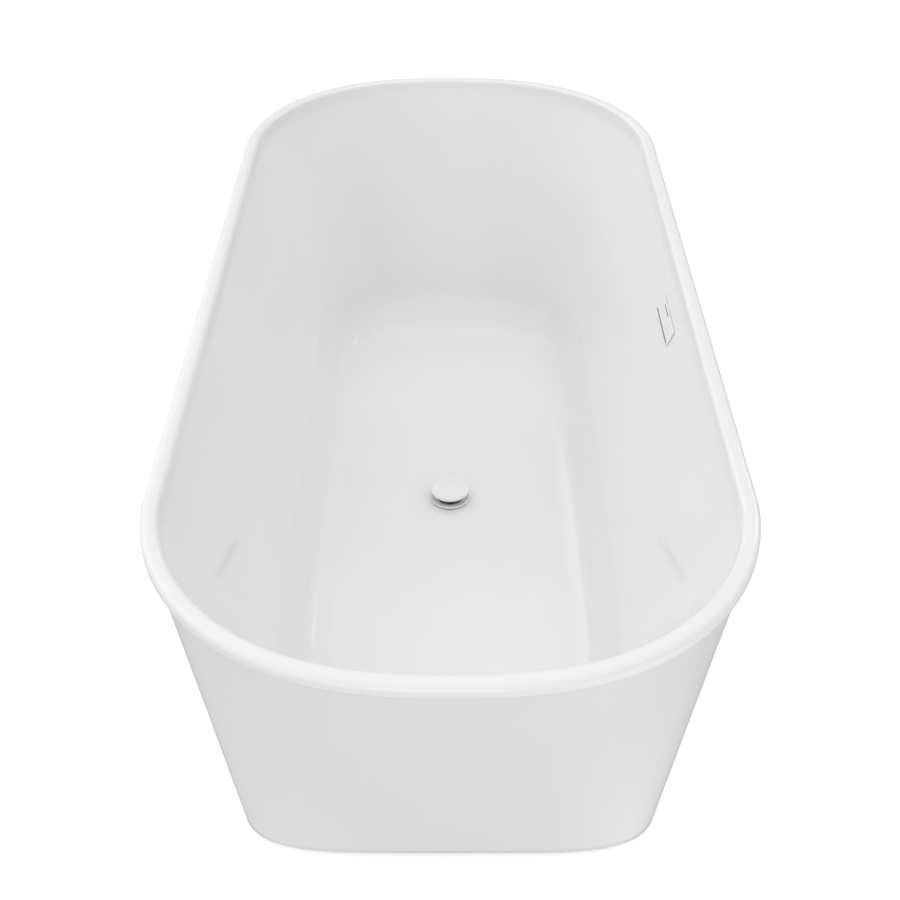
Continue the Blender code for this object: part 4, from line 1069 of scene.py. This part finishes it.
body = turned("waste_trap_body", [
    (0.0, BODY_LOW), (0.0245, BODY_LOW), (0.0245, BODY_LOW + 0.014), (0.0290, BODY_LOW + 0.018),
    (0.0300, BODY_LOW + 0.022), (0.0300, BODY_TOP - 0.010), (0.0325, BODY_TOP - 0.008),
    (0.0325, BODY_TOP), (0.0, BODY_TOP)], "pipe", 108, False, 0.0008, None, 45.0, ribbed)
ROT_X = at(0, 0, PORT_Z) @ Matrix.Rotation(PI / 2, 4, "Y")
port = obj("c", spun("c", soften([(0.0, 0.0045), (0.0150, 0.0045), (0.0150, 0.0600), (0.0, 0.0600)], 0.0006, 3, False),
                     64, False), "pipe", ROT_X)
boolean(body, [port], "UNION", 45.0)
chamber = obj("c", spun("c", [(0.0, BODY_LOW - 0.01), (0.0206, BODY_LOW - 0.01), (0.0206, BODY_LOW + 0.0160),
                              (0.0262, BODY_LOW + 0.0220), (0.0262, BODY_TOP + 0.01), (0.0, BODY_TOP + 0.01)],
                        80, False), "pipe")
bore = obj("c", spun("c", [(0.0, -0.0030), (0.0100, -0.0030), (0.0100, 0.0700), (0.0, 0.0700)], 48, False), "pipe", ROT_X)
boolean(body, [chamber, bore], "DIFFERENCE", 45.0)
show(body, "tub", "waste_body")
show(turned("tail_seal", [(0.0203, BODY_LOW - 0.0030), (0.0243, BODY_LOW - 0.0030), (0.0243, BODY_LOW - GAP),
                          (0.0203, BODY_LOW - GAP)], "rubber", 96), "tub", "tail_gasket")


def wings(r, z, w):
    if BODY_LOW - 0.0040 < z < BODY_LOW + 0.0078 and r > 0.0290:
        return r - 0.0012 * (0.5 - 0.5 * math.cos(16 * w)) ** 4
    return r


show(turned("tail_union_nut", [
    (0.0203, BODY_LOW - 0.0063), (0.0285, BODY_LOW - 0.0063), (0.0300, BODY_LOW - 0.0045),
    (0.0300, BODY_LOW + 0.0020), (0.0300, BODY_LOW + 0.0080), (0.0290, BODY_LOW + 0.0090), (0.0248, BODY_LOW + 0.0090),
    (0.0248, BODY_LOW - 0.0033), (0.0203, BODY_LOW - 0.0033)], "pipe", 128, r=0.0006, sharp=50.0, radial=wings),
    "tub", "tail_nut")
TAIL_LOW = 0.0150
show(turned("waste_tailpiece", [
    (0.0180, TAIL_LOW), (0.0196, TAIL_LOW), (0.0200, TAIL_LOW + 0.0010), (0.0200, BODY_LOW + 0.0140),
    (0.0180, BODY_LOW + 0.0140)], "pipe", 96, r=0.0004), "tub", "outlet_tailpiece")

# ---------------------------------------------------------------- overflow
cover = box("overflow_plate", (0.0033, OVERFLOW_LEN, OVERFLOW_H), "cover", at_overflow(0.0001 + 0.00165, 0, 0), r=0.0016, seg=5)
boolean(cover, [
    box("c", (0.02, OVERFLOW_LEN - 0.008, 0.0026), "cover", at_overflow(0, 0, -OVERFLOW_H / 2 + 0.0035), r=0.0010, seg=3),
    box("c", (0.02, 0.039, 0.0022), "cover", at_overflow(0, NOTCH_Y, OVERFLOW_H / 2 - 0.0034), r=0.00090, seg=3)],
    "DIFFERENCE", 35.0)
show(cover, "tub", "overflow_cover")
# dark sheet behind the cover's two slits, painted shade: it stands in for the shadow in the cavity seen through them
slit_shade_sheet = box("overflow_slit_shade_sheet", (0.0024, OVERFLOW_LEN - 0.006, OVERFLOW_H - 0.0026), "rubber",
            at_overflow(0.0016, 0, 0), r=0.0003, seg=1)
show(slit_shade_sheet, "tub", None)


def overflow_ring(name, out0, out1, len_o, h_o, len_i, h_i, mat):
    def corners(length, height, out, r):
        base = soften([(-length / 2, -height / 2), (length / 2, -height / 2), (length / 2, height / 2),
                       (-length / 2, height / 2)], r, 5)
        return [overflow_point(out, u, SLOT_DROP + v) for u, v in base]
    loops = [corners(len_o, h_o, out0, 0.006), corners(len_o, h_o, out1, 0.006),
             corners(len_i, h_i, out1, 0.004), corners(len_i, h_i, out0, 0.004)]
    verts, faces = lofted(name, loops)
    return obj(name, mesh(name, verts, faces), mat, None, 30.0)


BACK = -(SHELL_T + 0.0008)
show(overflow_ring("overflow_seal", BACK, BACK - 0.0015, 0.108, 0.022, 0.094, 0.011, "rubber"),
     "tub", "overflow_gasket")
BOX_TOP, BOX_LOW = 0.5125, 0.4550
face_off = SHELL_T + 0.0008 + 0.0015 + GAP


def box_section():
    def front(z):
        base = overflow_point(-face_off, 0, 0)
        return base.x + (z - base.z) * math.tan(WALL_TILT)

    def rear(z):
        return skirt_half_width(z) - SKIRT_T - 0.0022
    return [(front(BOX_TOP), BOX_TOP), (rear(BOX_TOP), BOX_TOP), (rear(BOX_LOW), BOX_LOW),
            (max(front(BOX_LOW), shell_half_width(BOX_LOW) + 0.0070), BOX_LOW)]


def wedge(name, section, half, mat):
    n = len(section)
    verts = [(x, -half, z) for x, z in section] + [(x, half, z) for x, z in section]
    faces = [tuple(range(n)), tuple(reversed(range(n, 2 * n)))]
    faces += [(i, (i + 1) % n, n + (i + 1) % n, n + i) for i in range(n)]
    return obj(name, mesh(name, verts, faces), mat, None, 30.0)


sec = box_section()
housing = wedge("overflow_box", sec, 0.058, "grey")
bevel(housing, 0.0018, 3, 30.0, 40.0)
SPIGOT_TILT = math.atan(0.25)
spigot_top = Vector((0.3490, 0, 0.4590))
SPIGOT_DIR = Vector((-math.sin(SPIGOT_TILT), 0, -math.cos(SPIGOT_TILT)))
SPIGOT_LEN = 0.0440
SPIGOT_M = at(*spigot_top, (0.0, PI + SPIGOT_TILT, 0.0))
boolean(housing, [obj("c", spun("c", [(0.0, 0.0), (HOSE_R, 0.0), (HOSE_R, SPIGOT_LEN - 0.0006),
                                     (HOSE_R - 0.0006, SPIGOT_LEN), (0.0, SPIGOT_LEN)], 56, False), "grey", SPIGOT_M)],
        "UNION", 40.0)
inner_box = [(sec[0][0] + 0.0016, BOX_TOP - 0.0016), (sec[1][0] - 0.0016, BOX_TOP - 0.0016),
             (sec[2][0] - 0.0016, BOX_LOW + 0.0016), (sec[3][0] + 0.0016, BOX_LOW + 0.0016)]
boolean(housing, [
    wedge("c", inner_box, 0.0564, "grey"),
    box("c", (0.012, 0.090, 0.0090), "grey", at_overflow(-face_off - 0.0010, 0, SLOT_DROP)),
    obj("c", spun("c", [(0.0, -0.004), (0.0082, -0.004), (0.0082, SPIGOT_LEN + 0.01), (0.0, SPIGOT_LEN + 0.01)],
                  48, False), "grey", SPIGOT_M)], "DIFFERENCE", 40.0)
show(housing, "tub", "overflow_housing")

spigot_end = spigot_top + SPIGOT_DIR * SPIGOT_LEN
hose_start = spigot_end + SPIGOT_DIR * GAP
hose_end = Vector((0.0600 + GAP, 0, PORT_Z))
hose_path = smooth_path([
    hose_start, hose_start + SPIGOT_DIR * 0.018, (0.3190, 0, 0.340), (0.2950, 0, 0.250), (0.2740, 0, 0.175),
    (0.2480, 0, 0.122), (0.2060, 0, 0.088), (0.1500, 0, PORT_Z + 0.001), (0.1000, 0, PORT_Z),
    hose_end + Vector((0.012, 0, 0)), hose_end], 64)
total = sum((b - a).length for a, b in zip(hose_path, hose_path[1:]))


def corrugation(i, u, w):
    """Plain cuffs at both ends and round corrugations between them."""
    inside = min(1.0, max(0.0, (u - 0.012) / 0.004), max(0.0, (total - 0.016 - u) / 0.004))
    return HOSE_R - 0.0009 * inside * (0.5 - 0.5 * math.cos(2 * PI * u / 0.0040)) ** 1.3


fine_path, acc, step = [hose_path[0]], 0.0, 0.00055
for a, b in zip(hose_path, hose_path[1:]):
    d = (b - a).length
    while acc + d >= step:
        f = (step - acc) / d
        a = a + (b - a) * f
        d = (b - a).length
        fine_path.append(a.copy())
        acc = 0.0
    acc += d
fine_path[-1] = hose_path[-1]
hose = swept("corrugated_hose", fine_path, corrugation, 28, "grey", HOSE_BORE_R)
show(hose, "tub", "overflow_hose")


def knurl(lo, hi, rmin, count, depth):
    def f(r, z, w):
        if lo < z < hi and r > rmin:
            return r - depth * (0.5 + 0.5 * math.cos(count * w)) ** 3
        return r
    return f


show(turned("hose_nut_upper", [
    (HOSE_R + 0.0004, -0.0100), (0.0150, -0.0100), (0.0158, -0.0085), (0.0158, 0.0), (0.0158, 0.0085),
    (0.0150, 0.0100), (HOSE_R + 0.0004, 0.0100)], "pipe", 120, r=0.0006, matrix=at(*spigot_end, (0.0, PI + SPIGOT_TILT, 0.0)),
    sharp=50.0, radial=knurl(-0.0084, 0.0084, 0.0152, 24, 0.0007)), "tub", "hose_nut_top")
show(turned("hose_nut_lower", [
    (0.0154, 0.0480), (0.0185, 0.0480), (0.0195, 0.0495), (0.0195, 0.0570), (0.0195, 0.0660), (0.0150, 0.0700),
    (HOSE_R + 0.0004, 0.0700), (HOSE_R + 0.0004, 0.0604), (0.0154, 0.0604)], "pipe", 120, r=0.0006, matrix=ROT_X,
    sharp=50.0, radial=knurl(0.0496, 0.0659, 0.0186, 24, 0.0008)), "tub", "hose_nut_bottom")

# ---------------------------------------------------------------- floor, light and camera
scene = bpy.context.scene
floor_me = mesh("studio_floor", [(-30, -30, 0), (30, -30, 0), (30, 30, 0), (-30, 30, 0)], [(0, 1, 2, 3)])
floor = bpy.data.objects.new("studio_floor", floor_me)
COLL.objects.link(floor)
fm = Nodes("studio_floor_white", rough=0.9)
fm.colour(fm.ramp(fm.noise(1.5, 2.0), ((0.3, (0.93, 0.93, 0.93)), (0.7, (0.95, 0.95, 0.95)))))
fm.p.inputs["Specular IOR Level"].default_value = 0.1
fm.p.inputs["Emission Color"].default_value = (1, 1, 1, 1)
fm.p.inputs["Emission Strength"].default_value = 0.34
# one-sided, so that it doesn't hide the underside from a view from below
facing = fm.nt.nodes.new("ShaderNodeNewGeometry")
clear = fm.nt.nodes.new("ShaderNodeBsdfTransparent")
side = fm.nt.nodes.new("ShaderNodeMixShader")
fm.link(facing.outputs["Backfacing"], side.inputs[0])
fm.link(fm.p.outputs[0], side.inputs[1])
fm.link(clear.outputs[0], side.inputs[2])
fm.link(side.outputs[0], next(n for n in fm.nt.nodes if n.type == "OUTPUT_MATERIAL").inputs[0])
floor_me.materials.append(fm.mat)

floor.visible_diffuse = floor.visible_glossy = floor.visible_shadow = False

# soft light from all round: an even base and broad lobes (direction, width, strength), z up and +Y away from the camera
BASE_LIGHT = 0.390
LOBES = [
    ((0.0, 0.9994, 0.0349), 12, 0.054),
    ((0.7067, -0.7067, 0.0349), 12, 0.057),
    ((0.0, -0.9994, 0.0349), 12, 1.829),
    ((-0.7067, -0.7067, 0.0349), 12, 0.821),
    ((-0.9994, -0.0, 0.0349), 12, 0.023),
    ((-0.7067, 0.7067, 0.0349), 12, 0.758),
    ((0.5792, 0.5792, 0.5736), 16, 0.691),
    ((0.8192, 0.0, 0.5736), 16, 0.275),
    ((-0.8192, -0.0, 0.5736), 16, 0.748),
    ((-0.5792, 0.5792, 0.5736), 16, 1.451),
    ((0.0, 0.4384, 0.8988), 12, 0.541),
    ((0.3796, 0.2192, 0.8988), 12, 0.135),
    ((0.3796, -0.2192, 0.8988), 12, 0.844),
    ((-0.3796, -0.2192, 0.8988), 12, 0.644),
    ((-0.3796, 0.2192, 0.8988), 12, 0.066),
    ((0.6824, 0.394, -0.6157), 8, 0.192),
    ((0.6824, -0.394, -0.6157), 8, 1.093),
    ((0.0, -0.788, -0.6157), 8, 0.067),
    ((-0.6824, -0.394, -0.6157), 8, 0.07),
    ((-0.6824, 0.394, -0.6157), 8, 0.291),
    ((-0.3244, 0.803, 0.5), 80, 0.35),
]
world = bpy.data.worlds.new("studio_world")
world.use_nodes = True
wt = world.node_tree
back = wt.nodes["Background"]
back.inputs["Color"].default_value = (1.0, 1.0, 1.0, 1.0)
where = wt.nodes.new("ShaderNodeTexCoord")


def wmath(op, a, b):
    m = wt.nodes.new("ShaderNodeMath")
    m.operation = op
    for i, v in enumerate((a, b)):
        if isinstance(v, (int, float)):
            m.inputs[i].default_value = v
        else:
            wt.links.new(v, m.inputs[i])
    return m.outputs[0]


level = BASE_LIGHT
for direction, width, strength in LOBES:
    dot = wt.nodes.new("ShaderNodeVectorMath")
    dot.operation = "DOT_PRODUCT"
    wt.links.new(where.outputs["Generated"], dot.inputs[0])
    dot.inputs[1].default_value = direction
    lobe = wmath("POWER", wmath("MAXIMUM", dot.outputs["Value"], 0.0), width)
    level = wmath("ADD", wmath("MULTIPLY", lobe, strength), level)
# the backdrop itself is plain white
seen = wt.nodes.new("ShaderNodeLightPath").outputs["Is Camera Ray"]
level = wmath("ADD", wmath("MULTIPLY", level, wmath("SUBTRACT", 1.0, seen)), seen)
wt.links.new(level, back.inputs["Strength"])
scene.world = world


def softbox(name, place, target, size_x, size_y, power, shape="ELLIPSE"):
    data = bpy.data.lights.new(name, "AREA")
    data.shape = shape
    data.size, data.size_y = size_x, size_y
    data.energy = power
    o = bpy.data.objects.new(name, data)
    COLL.objects.link(o)
    d = (Vector(target) - Vector(place)).normalized()
    o.rotation_mode = "QUATERNION"
    o.rotation_quaternion = d.to_track_quat("-Z", "Y")
    o.location = place
    o.visible_camera = False
    return o


softbox("soft_back_right", (2.669, 2.669, 2.801), (0.0, 0.0, 0.35), 1.3, 1.3, 8.2)
softbox("soft_high_back", (0.000, 2.250, 4.247), (0.0, 0.0, 0.35), 2.6, 2.6, 7.1)
softbox("soft_high_front", (0.000, -2.250, 4.247), (0.0, 0.0, 0.35), 2.6, 2.6, 5.2)

cam_data = bpy.data.cameras.new("view")
cam_data.lens = 51.745
cam_data.sensor_width = 36.0
cam_data.sensor_fit = "HORIZONTAL"
cam_data.clip_start, cam_data.clip_end = 0.05, 100.0
camera = bpy.data.objects.new("view", cam_data)
COLL.objects.link(camera)
PITCH, ROLL, YAW = 0.6601, 0.0023, 0.0013
fwd = Vector((math.sin(YAW) * math.cos(PITCH), math.cos(YAW) * math.cos(PITCH), -math.sin(PITCH)))
right = Vector((math.cos(YAW), -math.sin(YAW), 0.0))
up = right.cross(fwd)
r_ = right * math.cos(ROLL) + up * math.sin(ROLL)
u_ = up * math.cos(ROLL) - right * math.sin(ROLL)
rot = Matrix(((r_.x, u_.x, -fwd.x), (r_.y, u_.y, -fwd.y), (r_.z, u_.z, -fwd.z)))
camera.matrix_world = Matrix.Translation((-0.0023, -1.7858, 1.6295)) @ rot.to_4x4()
scene.camera = camera
scene.view_settings.view_transform = "Standard"
scene.view_settings.look = "None"
